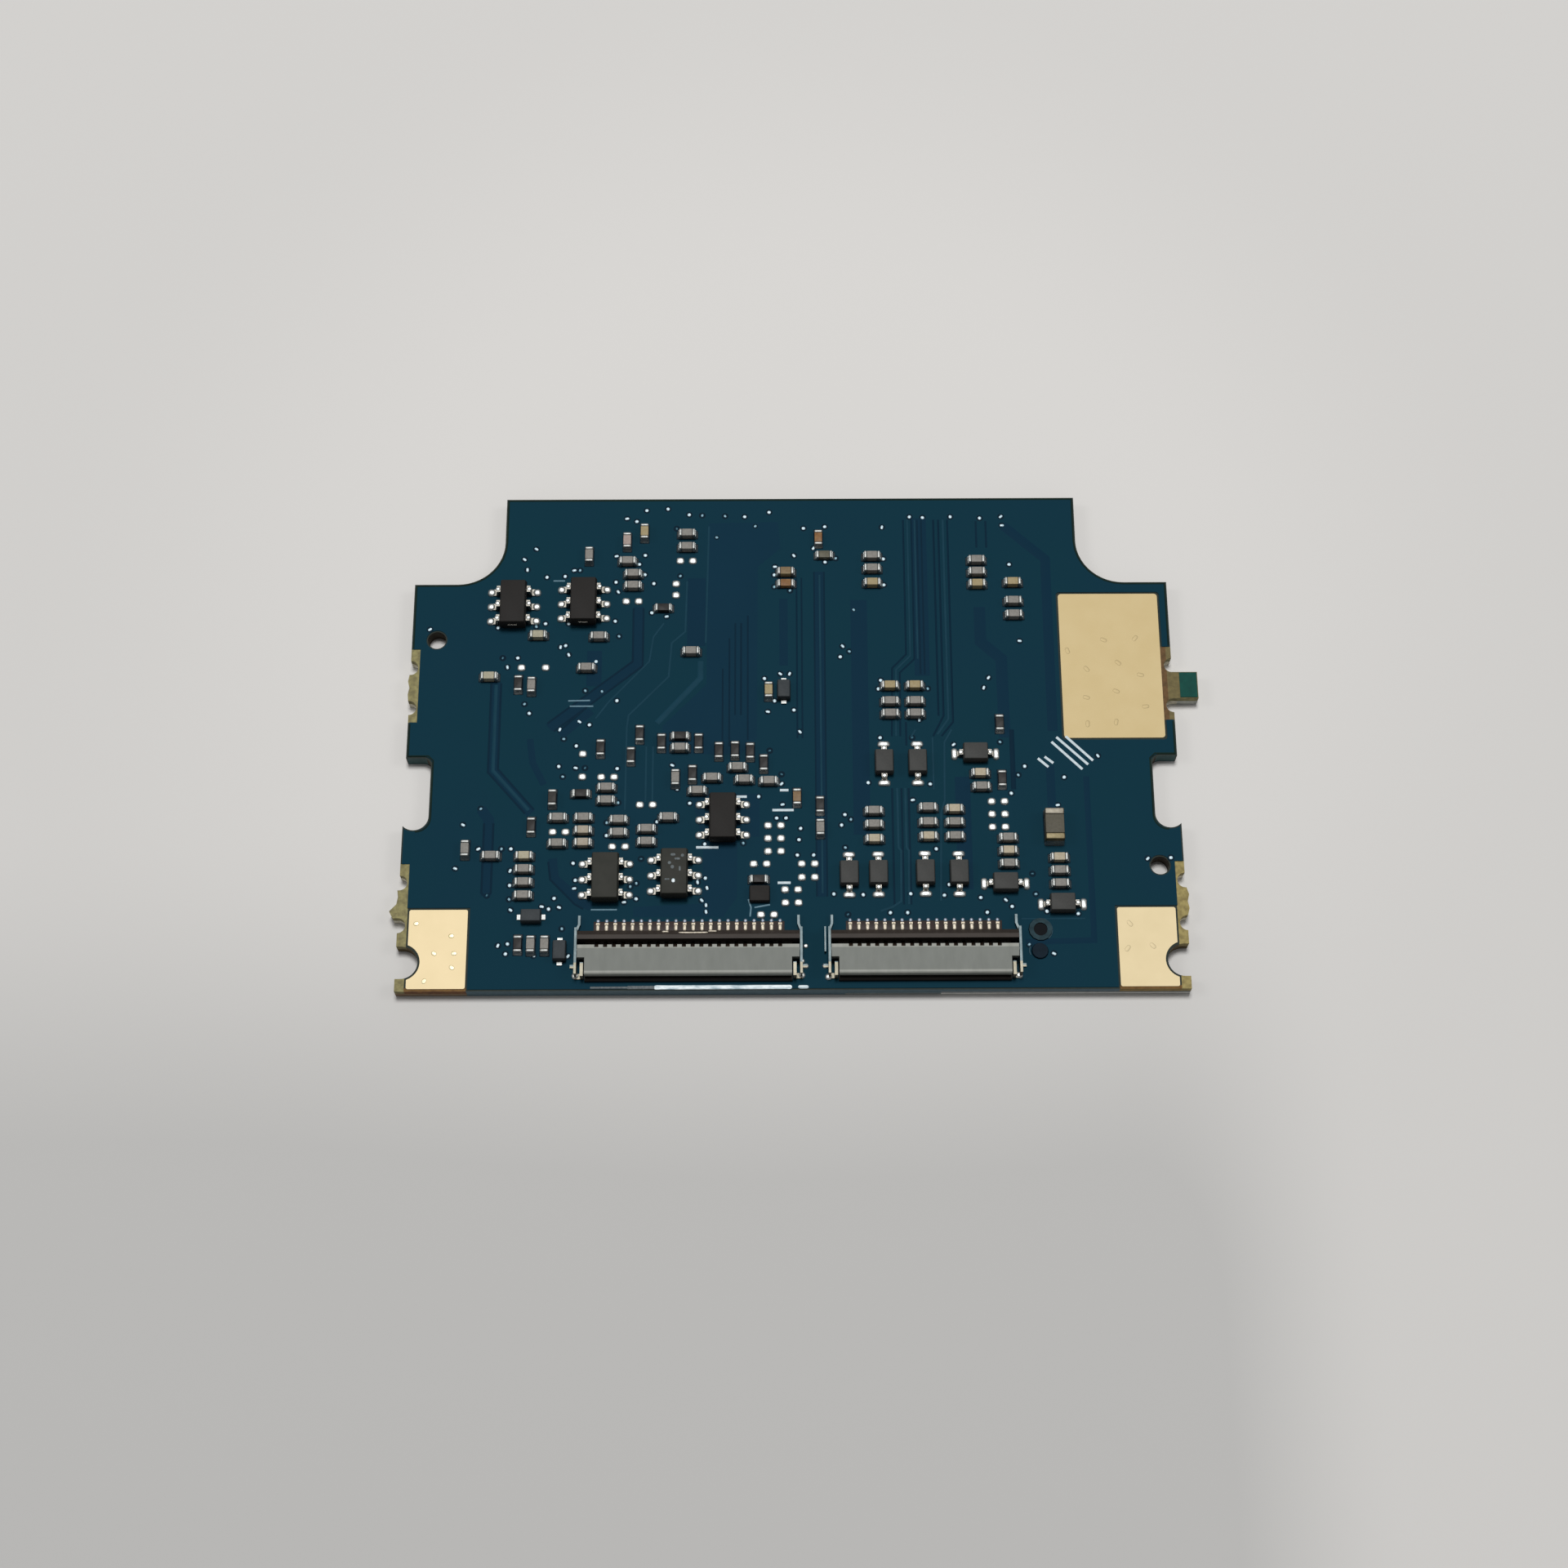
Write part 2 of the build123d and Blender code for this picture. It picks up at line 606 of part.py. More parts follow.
def tan_capacitors():
    """Places of the capacitors with a tan body: flat ones, then upright ones."""
    flat = [(-15.6, 8.08), (-12.2, 9.65), (-12.2, 8.88), (-15.2, 22.15), (-18.05, 19.45)]
    flat += [(-0.3, 26.3), (4.95, 25.55), (11.3, 25.45), (13.45, 25.55), (5.88, 18.77), (7.37, 18.77)]
    flat += [(4.8, 9.05), (7.97, 9.2), (9.52, 10.9), (11.1, 13.15), (12.6, 8.3), (15.53, 7.87)]
    upright = [(-8.9, 29.0), (-9.95, 28.4), (-1.35, 18.47)]
    return flat, upright


def grey_capacitors():
    """Places of the capacitors with a grey body: flat ones, then upright ones."""
    flat = stack(-15.6, 5.67, 3) + [(-17.55, 8.1), (-13.7, 8.85), (-13.7, 10.45), (-12.2, 10.45)]
    flat += stack(-10.15, 9.5, 2) + stack(-10.9, 11.52, 2) + stack(-8.5, 8.93, 2)
    flat += [(-7.25, 10.45), (-5.55, 12.1), (-6.6, 14.83), (-4.7, 12.92), (-3.2, 13.58), (-2.8, 12.8)]
    flat += [(-1.35, 12.7), (-9.9, 27.05), (-6.3, 28.9), (-6.3, 28.0), (-11.55, 22.05), (-12.25, 20.0)]
    flat += [(-6.0, 21.05), (-9.55, 26.2), (-9.55, 25.4)]
    flat += [(4.95, 27.35), (4.95, 26.5), (11.3, 27.05), (11.3, 26.25), (13.45, 24.3), (13.45, 23.4)]
    flat += stack(5.88, 16.95, 2) + stack(7.37, 16.95, 2)
    flat += [(4.8, 10.8), (4.8, 9.95), (7.97, 11.0), (7.97, 10.08), (9.52, 9.2), (9.52, 10.07)]
    flat += [(11.15, 12.3), (12.6, 9.1), (12.6, 7.5), (15.53, 7.07), (15.53, 6.27)]
    upright = [(-12.25, 27.45), (-15.5, 18.85), (-19.05, 8.52), (-14.05, 11.65), (-6.85, 12.9)]
    upright += [(-15.05, 2.68), (-14.25, 2.68), (1.65, 9.75)]
    return flat, upright


def resistors():
    """Places of the resistors: flat ones, then upright ones."""
    flat = [(-7.7, 23.95), (2.05, 27.45), (-0.3, 25.55), (-6.6, 15.6), (-12.4, 11.97), (-1.95, 6.62)]
    upright = [(1.7, 28.6), (-16.3, 19.0), (12.35, 16.35), (-9.0, 15.75), (-11.3, 14.85)]
    upright += [(-7.7, 15.2), (-5.5, 15.2), (-5.85, 13.2), (-4.3, 14.65), (-3.35, 14.7)]
    upright += [(-2.45, 14.6), (-1.65, 13.85), (1.65, 11.2), (12.38, 12.8), (-15.25, 9.95)]
    upright += [(-9.5, 14.35), (0.3, 11.7), (-15.8, 2.73)]
    return flat, upright


def solder_land():
    """One bare land with a low mound of solder."""
    return extrude(Rectangle(LAND_LENGTH, LAND_WIDTH), amount=LAND_HEIGHT, taper=LAND_TAPER)


def land_places():
    """Pairs of bare lands where no chip was fitted: x, y, turn and spacing."""
    pairs = [(-13.62, 9.62), (-10.12, 8.7), (-10.85, 13.05), (-8.55, 11.3), (-9.58, 24.45)]
    pairs += [(-6.33, 27.15), (-1.87, 7.6), (0.93, 7.6), (0.93, 6.77), (-0.05, 6.02)]
    pairs += [(-0.03, 5.22), (-1.45, 4.5)] + stack(-1.03, 8.38, 3) + stack(12.1, 9.83, 3)
    places = [(x, y, FLAT, LAND_SPACING) for x, y in pairs]
    places += [(-6.95, 25.23, UPRIGHT, LAND_SPACING)]
    places += [(-15.43, 20.1, FLAT, WIDE_LAND_SPACING), (-12.35, 13.8, UPRIGHT, WIDE_LAND_SPACING)]
    return places


def solder_lands():
    """Every bare solder land."""
    lands = []
    for x, y, turn, spacing in land_places():
        for side in (-1, 1):
            lands.append(seat(x, y, turn) * Pos(side * spacing / 2, 0, 0) * solder_land())
    return lands


def large_capacitor():
    """The body and the ends of the large capacitor."""
    place = seat(*LARGE_PLACE)
    sizes = (LARGE_LENGTH, LARGE_WIDTH, LARGE_HEIGHT, LARGE_END)
    return place * chip_body(*sizes), [place * piece for piece in chip_ends(*sizes)]


def dab(radius, height):
    """One low round of resin."""
    return extrude(RegularPolygon(radius, DAB_SIDES), amount=height, taper=DAB_TAPER)


def sealing_dabs():
    """Two dabs of dark resin: one with a raised rim round its sunk middle, one plain."""
    well = extrude(RegularPolygon(DAB_RING_INNER, DAB_SIDES), amount=DAB_RING_HEIGHT)
    well = Pos(0, 0, DAB_RING_SKIN) * well
    rimmed = dab(DAB_RING_OUTER, DAB_RING_HEIGHT) - well
    return [seat(*DAB_RING_PLACE) * rimmed, seat(*DAB_PLACE) * dab(DAB_RADIUS, DAB_HEIGHT)]


def main():
    """Builds and writes every node."""
    os.makedirs("parts", exist_ok=True)
    save("circuit_board", circuit_board())
    save("solder_mask_top", solder_mask())
    save("tab_mask", tab_mask())
    save("ground_pad_rear_right", on_laminate(rear_pad()))
    save("ground_pad_front_left", on_laminate(front_pad(-1)))
    save("ground_pad_front_right", on_laminate(front_pad(1)))
    centre = key_foil(key_round(KEY_CENTRE_RADIUS))
    ring = key_foil(key_round(KEY_RING_OUTER) - key_round(KEY_RING_INNER))
    save("key_contact_centres", [place * centre for place in key_places()])
    save("key_contact_rings", [place * ring for place in key_places()])
    save_socket("left_socket", LEFT_SOCKET_X, LEFT_SOCKET_COUNT)
    save_socket("right_socket", RIGHT_SOCKET_X, RIGHT_SOCKET_COUNT)
    save_ics()
    save_diodes()
    save_small_packages()
    save_chips("tan_capacitor", CAPACITOR_HEIGHT, *tan_capacitors())
    save_chips("grey_capacitor", CAPACITOR_HEIGHT, *grey_capacitors())
    save_chips("resistor", RESISTOR_HEIGHT, *resistors())
    body, ends = large_capacitor()
    save("large_capacitor_body", body)
    save("large_capacitor_ends", ends)
    save("bare_solder_lands", solder_lands())
    save("sealing_dabs", sealing_dabs())


main()
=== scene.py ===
"""Dresses the keypad circuit board: solder, vias, traces, ink, moulded packages and finishes.

Sizes are in millimetres until a mesh is made. Places on the board are x from its centre line
and y from its front edge, as in the model, and height is counted from the board's top.
"""

import logging
import math
from dataclasses import dataclass
from enum import Enum
from functools import cache

import bpy
import numpy as np
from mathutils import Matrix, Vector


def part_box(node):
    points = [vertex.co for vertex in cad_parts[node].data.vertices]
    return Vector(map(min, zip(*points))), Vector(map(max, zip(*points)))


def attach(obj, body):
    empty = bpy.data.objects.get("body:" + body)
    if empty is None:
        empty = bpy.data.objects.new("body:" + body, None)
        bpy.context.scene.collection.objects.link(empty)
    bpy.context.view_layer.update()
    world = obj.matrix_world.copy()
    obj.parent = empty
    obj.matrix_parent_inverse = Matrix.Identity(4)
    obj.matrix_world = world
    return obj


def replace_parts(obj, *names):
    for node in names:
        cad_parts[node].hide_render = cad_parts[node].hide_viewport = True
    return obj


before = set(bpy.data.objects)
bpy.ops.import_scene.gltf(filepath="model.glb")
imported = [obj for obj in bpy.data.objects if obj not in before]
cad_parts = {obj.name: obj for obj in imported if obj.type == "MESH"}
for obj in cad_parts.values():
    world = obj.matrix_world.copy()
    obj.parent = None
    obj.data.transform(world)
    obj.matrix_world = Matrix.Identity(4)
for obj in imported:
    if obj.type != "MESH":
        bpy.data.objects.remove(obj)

MM = 0.001
QUARTER = math.pi / 2
BOARD_DEPTH = 31.4
BOARD_TOP = 1.0
LATCH_FRONT = -14.97  # y of both latches, in the model's frame
LATCH_REAR = -13.25
SHARP_ANGLE = math.radians(40)  # an edge sharper than this stays sharp in smooth shading
ROUND_SIDES = 48  # steps round a key contact
THIN = 1e-4  # the shortest straight side between two rounds
log = logging.getLogger("keypad board")

Points = list[tuple[float, float]]
Line = tuple[float, Points]  # a width and a path
Drop = tuple[float, float, float, float]  # x, y, width and depth
Place = tuple[float, float, float, float]  # x, y, z and the turn about Z
Levels = np.ndarray | list[float] | float
Tree = bpy.types.NodeTree
Signal = bpy.types.NodeSocket  # a value on its way through a material


class Slot(Enum):
    """Names of the record's material slots."""

    MASK = "solder_mask"
    GOLD = "gold_plating"
    RESIN = "sealing_resin"
    SOLDER = "solder"
    CHIP_END = "chip_end"
    TAN = "tan_ceramic"
    GREY = "grey_ceramic"
    BROWN = "brown_ceramic"
    RESISTOR = "resistor_coating"
    IC = "ic_package"
    DIODE = "diode_package"
    LEAD = "tinned_lead"
    CLIP = "socket_clip"


# --- shapes --------------------------------------------------------------------------------
@dataclass(frozen=True)
class Shape:
    """A closed surface: points in millimetres, and blocks of faces with equal corner counts."""

    points: np.ndarray
    faces: tuple[np.ndarray, ...]

    def at(self, places: np.ndarray | list[Place]) -> "Shape":
        """Repeats the shape: each copy is turned about Z and then moved to its place.

        Args:
            places: One row per copy: x, y, z and the turn about Z in radians.

        Returns:
            One shape that holds all the copies.
        """
        place_x, place_y, place_z, turn = np.asarray(places, float).T[:, :, None]
        x, y, z = self.points.T
        turned_x = np.cos(turn) * x - np.sin(turn) * y
        turned_y = np.sin(turn) * x + np.cos(turn) * y
        moved = np.stack([turned_x + place_x, turned_y + place_y, z + place_z], -1)
        steps = np.arange(len(turn))[:, None, None] * len(self.points)
        faces = tuple((block + steps).reshape(-1, block.shape[1]) for block in self.faces)
        return Shape(moved.reshape(-1, 3), faces)


def joined(shapes: list[Shape]) -> Shape:
    """Joins shapes: their points in a row, and each one's faces counted on from there.

    Args:
        shapes: What is joined.

    Returns:
        One shape.
    """
    starts = np.cumsum([0, *(len(shape.points) for shape in shapes)])
    faces = tuple(block + start for shape, start in zip(shapes, starts) for block in shape.faces)
    return Shape(np.vstack([shape.points for shape in shapes]), faces)


def loft(rings: np.ndarray) -> Shape:
    """A skin over a stack of rings: a quad between each two corners and the two above them.

    Args:
        rings: Array (rings, corners, 3). Seen from the last ring, corners run counter-clockwise.

    Returns:
        The skin, closed by a flat face at each end.
    """
    levels, corners, _ = rings.shape
    level, corner = np.meshgrid(np.arange(levels - 1), np.arange(corners), indexing="ij")
    after = (corner + 1) % corners
    low, high = level * corners, (level + 1) * corners
    quads = np.stack([low + corner, low + after, high + after, high + corner], -1)
    ends = np.stack([np.arange(corners)[::-1], np.arange(corners) + (levels - 1) * corners])
    return Shape(rings.reshape(-1, 3), (quads.reshape(-1, 4), ends))


def stacked(
    width: Levels, depth: Levels, height: Levels, radius: Levels, ahead: Levels = 0, steps: int = 3
) -> Shape:
    """A loft of rounded rectangles: each corner is a quarter circle about its own middle.

    Args:
        width: Of each ring across X, from the lowest up.
        depth: Of each ring across Y.
        height: Of each ring.
        radius: Of each ring's corners.
        ahead: How far each ring's middle lies along X.
        steps: Points in each corner.

    Returns:
        The closed skin.
    """
    rows = np.array(np.broadcast_arrays(width, depth, height, radius, ahead), float)
    width, depth, height, radius, ahead = rows[:, :, None]
    radius = np.minimum(radius, np.minimum(width, depth) / 2 - THIN)
    angle = (QUARTER * np.arange(4)[:, None] + np.linspace(0, QUARTER, steps)).ravel()
    diagonal = QUARTER * (np.arange(4) + 0.5)
    side_x, side_y = np.repeat(np.sign([np.cos(diagonal), np.sin(diagonal)]), steps, axis=1)
    x = ahead + side_x * (width / 2 - radius) + radius * np.cos(angle)
    y = side_y * (depth / 2 - radius) + radius * np.sin(angle)
    return loft(np.stack([x, y, np.broadcast_to(height, x.shape)], -1))


def rounded_block(width: float, depth: float, height: float, edge: float, steps: int = 3) -> Shape:
    """A block on the board: its top edge draws in as one less a cosine and rises as a sine.

    Args:
        width: Across X.
        depth: Across Y.
        height: Of its flat top.
        edge: Radius of its upright corners and of its top edge.
        steps: Points in each round.

    Returns:
        The closed skin.
    """
    turn = np.linspace(0, QUARTER, steps)
    inset = np.append(0, 2 * edge * (1 - np.cos(turn)))
    rise = np.append(0, height - edge + edge * np.sin(turn))
    return stacked(width - inset, depth - inset, rise, edge, steps=steps)


def mound(
    width: float,
    depth: float,
    height: float,
    round_share: float = 0.5,
    rings: int = 5,
    fullness: float = 1.0,
) -> Shape:
    """A drop: rounded outlines that shrink as the cosine of an angle while they rise as its sine.

    Args:
        width: Across X at its foot.
        depth: Across Y at its foot.
        height: At its crest.
        round_share: Corner radius of the outline as a share of its narrow side.
        rings: How many outlines it has.
        fullness: Power of the cosine; below one the crest is broad and flat.

    Returns:
        The closed skin, with a small flat at its crest.
    """
    crest = 0.93 * QUARTER
    turn = np.linspace(0, crest, rings)
    wide, deep = width * np.cos(turn) ** fullness, depth * np.cos(turn) ** fullness
    return stacked(wide, deep, height * np.sin(turn), round_share * np.minimum(wide, deep), steps=4)


def meniscus(
    width: float, reach: float, height: float, under: float = 0.12, rings: int = 5
) -> Shape:
    """Solder drawn up a chip's end: it shrinks as the 1.5th power of what is left to climb.

    Args:
        width: Across the chip.
        reach: From the chip's end out to the rim, along +X.
        height: How far it climbs.
        under: How far it runs in under the chip.
        rings: How many rings the climb has.

    Returns:
        The fillet, with the chip's end face at x = 0.
    """
    lip, skin, narrowing, round_share = 0.02, 0.015, 0.12, 0.35
    climbed = np.append(0, np.linspace(0, 1, rings))
    outer = reach * (1 - climbed) ** 1.5 + skin
    long, wide = outer + under, width * (1 - narrowing * climbed)
    rise = lip + (height - lip) * climbed
    rise[0] = 0
    return stacked(long, wide, rise, round_share * np.minimum(long, wide), (outer - under) / 2)


def strip(path: Points, width: float, height: float) -> Shape:
    """A flat strip with sloped sides: at each bend its section lies along the mitre.

    Args:
        path: The strip's middle line.
        width: Across its foot.
        height: Of its top.

    Returns:
        The closed skin, with its foot at z = 0.
    """
    top = 0.44  # half the top's width as a share of the foot's
    points = np.asarray(path, float)
    runs = np.diff(points, axis=0)
    runs /= np.linalg.norm(runs, axis=1, keepdims=True)
    ahead, behind = np.vstack([runs, runs[-1:]]), np.vstack([runs[:1], runs])
    bend = ahead + behind
    bend /= np.linalg.norm(bend, axis=1, keepdims=True)
    left = np.stack([-bend[:, 1], bend[:, 0]], -1)
    left /= np.sum(left * np.stack([-ahead[:, 1], ahead[:, 0]], -1), axis=1, keepdims=True)
    section = np.array([(0.5, 0), (top, 1), (-top, 1), (-0.5, 0)]) * [width, height]
    flat = points[:, None] + left[:, None] * section[None, :, :1]
    rise = np.broadcast_to(section[None, :, 1:], (*flat.shape[:2], 1))
    return loft(np.concatenate([flat, rise], -1))


def arc(x: float, y: float, radius: float, start: float, end: float, steps: int) -> Points:
    """Points on a circle: its middle, plus the radius times the cosine and sine of each angle."""
    angle = np.radians(np.linspace(start, end, steps))
    return list(zip(x + radius * np.cos(angle), y + radius * np.sin(angle)))


def plate(outline: Points, height: float) -> Shape:
    """A flat plate from z = 0 over an outline whose points run counter-clockwise."""
    return loft(np.array([[(x, y, z) for x, y in outline] for z in (0.0, height)]))


def turned(profile: Points) -> Shape:
    """Turns a closed profile about the Z axis: each radius times the cosine and sine of an angle.

    Args:
        profile: Radius and height of each point, running clockwise seen with the axis at the left.

    Returns:
        A closed ring-shaped skin.
    """
    radius, height = np.asarray(profile, float).T
    count = len(radius)
    angle = np.arange(ROUND_SIDES)[:, None] * 2 * math.pi / ROUND_SIDES
    high = np.broadcast_to(height, (ROUND_SIDES, count))
    points = np.stack([np.cos(angle) * radius, np.sin(angle) * radius, high], -1)
    step, corner = np.meshgrid(np.arange(ROUND_SIDES), np.arange(count), indexing="ij")
    here, there = step * count, (step + 1) % ROUND_SIDES * count
    after = (corner + 1) % count
    quads = np.stack([here + corner, here + after, there + after, there + corner], -1)
    return Shape(points.reshape(-1, 3), (quads.reshape(-1, 4),))


# --- finishes ------------------------------------------------------------------------------
def linear(colour: str) -> tuple[float, float, float, float]:
    """Turns an sRGB hex value into linear colour with full alpha."""
    values = [int(colour[i : i + 2], 16) / 255 for i in (1, 3, 5)]
    return (*[v / 12.92 if v <= 0.04045 else ((v + 0.055) / 1.055) ** 2.4 for v in values], 1.0)


def add_node(tree: Tree, kind: str, settings: dict, links: dict | None = None) -> bpy.types.Node:
    """Adds one shader node.

    Args:
        tree: The material's node tree.
        kind: The node's type.
        settings: Values for its properties, or else for its inputs, by name or number. A hex
            value is turned to linear colour.
        links: Output sockets to link, by the name or number of the input that takes each.

    Returns:
        The new node.
    """
    node = tree.nodes.new(kind)
    for name, value in settings.items():
        if isinstance(name, str) and hasattr(node, name):
            setattr(node, name, value)
        else:
            is_colour = isinstance(value, str) and value.startswith("#")
            node.inputs[name].default_value = linear(value) if is_colour else value
    for name, source in (links or {}).items():
        tree.links.new(source, node.inputs[name])
    return node


@dataclass(frozen=True)
class Finish:
    """A surface with a main colour, a second colour in grains, and a fine relief."""

    name: str
    colour: str
    second: str
    grain: float = 0.3  # mm between patches of the second colour
    stretch: tuple[float, float, float] = (1, 1, 1)
    contrast: float = 0.5
    roughness: float = 0.5
    metallic: float = 0.0
    specular: float = 0.5
    relief: float = 0.0  # mm, depth of the fine relief
    relief_grain: float = 0.1  # mm between its bumps

    def noise(self, tree: Tree, place: Signal, grain: float) -> Signal:
        """A noise whose patches are a grain apart, drawn out by the finish's stretch.

        Args:
            tree: The material's node tree.
            place: Object coordinates.
            grain: Millimetres between patches.

        Returns:
            The noise, from 0 to 1.
        """
        scale = tuple(1 / (grain * MM * s) for s in self.stretch)
        scaled = add_node(tree, "ShaderNodeMapping", {"Scale": scale}, {"Vector": place})
        settings = {"Scale": 1.0, "Detail": 3.0, "Roughness": 0.55}
        links = {"Vector": scaled.outputs[0]}
        return add_node(tree, "ShaderNodeTexNoise", settings, links).outputs[0]

    def share_socket(self, tree: Tree, place: Signal) -> Signal:
        """How much of the second colour shows: a noise with its soft edges drawn together.

        Args:
            tree: The material's node tree.
            place: Object coordinates.

        Returns:
            The second colour's share.
        """
        reach = 0.5 / (1 + 4 * self.contrast)
        settings = {"From Min": 0.5 - reach, "From Max": 0.5 + reach}
        links = {"Value": self.noise(tree, place, self.grain)}
        return add_node(tree, "ShaderNodeMapRange", settings, links).outputs[0]

    def colour_socket(self, tree: Tree, place: Signal) -> Signal:
        """The colour pattern: two colours mixed by their shares."""
        settings = {"data_type": "RGBA", 6: self.colour, 7: self.second}
        links = {0: self.share_socket(tree, place)}
        return add_node(tree, "ShaderNodeMix", settings, links).outputs[2]

    def build(self) -> bpy.types.Material:
        """Makes the Blender material.

        Returns:
            The material.
        """
        made = bpy.data.materials.new(self.name)
        made.use_nodes = True
        tree = made.node_tree
        inputs = tree.nodes["Principled BSDF"].inputs
        inputs["Roughness"].default_value = self.roughness
        inputs["Metallic"].default_value = self.metallic
        inputs["Specular IOR Level"].default_value = self.specular
        place = add_node(tree, "ShaderNodeTexCoord", {}).outputs["Object"]
        tree.links.new(self.colour_socket(tree, place), inputs["Base Color"])
        if self.relief:
            settings = {"Strength": 1.0, "Distance": self.relief * MM}
            links = {"Height": self.noise(tree, place, self.relief_grain)}
            bump = add_node(tree, "ShaderNodeBump", settings, links)
            tree.links.new(bump.outputs[0], inputs["Normal"])
        return made


@dataclass(frozen=True)
class Zone:
    """A box of the part in which a zoned finish shows two other colours.

    Limits are in millimetres in the model's frame; None leaves an axis free.
    """

    colour: str
    second: str
    x: tuple[float, float] | None = None
    y: tuple[float, float] | None = None
    z: tuple[float, float] | None = None
    both_sides: bool = False  # x then counts from the centre line to either side

    def inside(self, tree: Tree, axes: list[Signal]) -> Signal:
        """Is 1 inside the box and 0 outside: one comparison an axis, all multiplied.

        Args:
            tree: The material's node tree.
            axes: The place along x, y and z, in millimetres.

        Returns:
            The product.
        """
        inside = None
        for limits, axis in zip((self.x, self.y, self.z), axes):
            if limits is None:
                continue
            if axis is axes[0] and self.both_sides:
                settings = {"operation": "ABSOLUTE"}
                axis = add_node(tree, "ShaderNodeMath", settings, {0: axis}).outputs[0]
            low, high = limits
            settings = {"operation": "COMPARE", 1: (low + high) / 2, 2: (high - low) / 2}
            test = add_node(tree, "ShaderNodeMath", settings, {0: axis}).outputs[0]
            if inside is not None:
                settings, links = {"operation": "MULTIPLY"}, {0: inside, 1: test}
                test = add_node(tree, "ShaderNodeMath", settings, links).outputs[0]
            inside = test
        return inside


@dataclass(frozen=True)
class ZonedFinish(Finish):
    """A finish with other colours in some boxes of the part; a later zone covers an earlier one."""

    zones: tuple[Zone, ...] = ()

    def colour_socket(self, tree: Tree, place: Signal) -> Signal:
        """Lays each zone's colours over the plain pattern in turn.

        Args:
            tree: The material's node tree.
            place: Object coordinates.

        Returns:
            The colour pattern.
        """
        share = self.share_socket(tree, place)
        settings = {"operation": "SCALE", "Scale": 1 / MM}
        in_mm = add_node(tree, "ShaderNodeVectorMath", settings, {0: place}).outputs[0]
        axes = list(add_node(tree, "ShaderNodeSeparateXYZ", {}, {0: in_mm}).outputs)
        whole = None
        for layer in (self, *self.zones):
            settings = {"data_type": "RGBA", 6: layer.colour, 7: layer.second}
            own = add_node(tree, "ShaderNodeMix", settings, {0: share}).outputs[2]
            if whole is not None:
                links = {0: layer.inside(tree, axes), 6: whole, 7: own}
                own = add_node(tree, "ShaderNodeMix", {"data_type": "RGBA"}, links).outputs[2]
            whole = own
        return whole


@dataclass(frozen=True)
class ShadowPaintedFinish(Finish):
    """A finish with a painted shadow in front of the part, and a painted fall of light to its rim.

    All lengths are in millimetres in the model's frame.
    """

    # The patch is a painted shadow, and the fall a painted fall of light.
    shadow_rear: tuple[float, float] = (-34.0, -4.0)  # it fades from the first to the last
    shadow_right: tuple[float, float] = (19.0, 33.0)
    right_share: float = 0.97  # how much of the patch goes towards the right
    middle: tuple[float, float] = (0.0, 10.0)
    fall: tuple[float, float] = (20.0, 48.0)  # distances from the middle over which it falls
    fall_share: float = 0.25

    def share_socket(self, tree: Tree, place: Signal) -> Signal:
        """One, less the painted shadow (its two smooth steps multiplied), less the painted fall.

        Args:
            tree: The material's node tree.
            place: Object coordinates.

        Returns:
            The second colour's share.
        """
        x, y, _ = add_node(tree, "ShaderNodeSeparateXYZ", {}, {0: place}).outputs
        settings = {"operation": "DISTANCE", 1: (*(v * MM for v in self.middle), 0)}
        away = add_node(tree, "ShaderNodeVectorMath", settings, {0: place}).outputs["Value"]
        steps = []
        for source, (start, end), last in (
            (y, self.shadow_rear, 0),
            (x, self.shadow_right, 1 - self.right_share),
            (away, self.fall, 1 - self.fall_share),
        ):
            settings = {1: start * MM, 2: end * MM, 3: 1, 4: last}
            settings["interpolation_type"] = "SMOOTHSTEP"
            steps.append(add_node(tree, "ShaderNodeMapRange", settings, {0: source}).outputs[0])
        to_rear, to_right, fallen = steps
        links = {0: to_rear, 1: to_right}
        painted_shadow = add_node(tree, "ShaderNodeMath", {"operation": "MULTIPLY"}, links).outputs[0]
        settings = {"operation": "SUBTRACT", "use_clamp": True}
        return add_node(tree, "ShaderNodeMath", settings, {0: fallen, 1: painted_shadow}).outputs[0]


CUT_EDGE = (0.02, 0.94)  # z of the board's edge, between its two faces
TOP_EDGE = (0.94, 1.2)  # z of its upper corner and its top
FRONT_FACE = (-15.8, -15.62)  # y of its front edge
CURED = {"roughness": 0.62, "specular": 0.04}  # of the flat lacquer

# Printed and cured flat: an even dark blue with a dull sheen; flux has browned it by the screw
# notches.
MASK = ZonedFinish(
    "liquid solder mask over copper", "#092D3C", "#072F3B", grain=7, contrast=0.2,
    zones=(Zone("#54482A", "#605232", x=(20.0, 22.9), y=(-15.7, -12.75), both_sides=True),),
    **CURED,
)
# With no copper under it the lacquer looks a shade bluer.
MASK_BARE = Finish(
    "solder mask over bare laminate", "#082A3B", "#092C3D", grain=4, contrast=0.2, **CURED,
)
# Sunk between areas of copper, the same lacquer looks a touch darker.
MASK_CORRIDOR = Finish(
    "solder mask in a bare corridor", "#072839", "#08293B", grain=4, contrast=0.2, **CURED,
)
# It pools in the gap beside a trace: a thin dark line, drawn wider than the real one.
MASK_DEEP = Finish(
    "solder mask in a narrow gap", "#052030", "#062333", grain=2, contrast=0.2, **CURED,
)
# Over a raised trace it is thin: paler, and its edge catches the light.
MASK_TRACE = Finish(
    "solder mask over a trace", "#133847", "#0F3341", grain=1.2, contrast=0.3, roughness=0.6,
    specular=0.05,
)
# Over a drilled via the dip is painted near white: a painted glint of the lamp.
MASK_VIA_GLINT = Finish(
    "solder mask in a via, with a painted glint", "#D3E4EA", "#A9C8D4", grain=0.12, roughness=0.3,
    specular=0.6,
)
# A dimmer painted glint: pale blue, for a via that mirrors less of the lamp.
MASK_VIA_DIM_GLINT = Finish("solder mask in a via, with a dim painted glint", "#8DB0BD", "#6A94A5", grain=0.12, roughness=0.3)
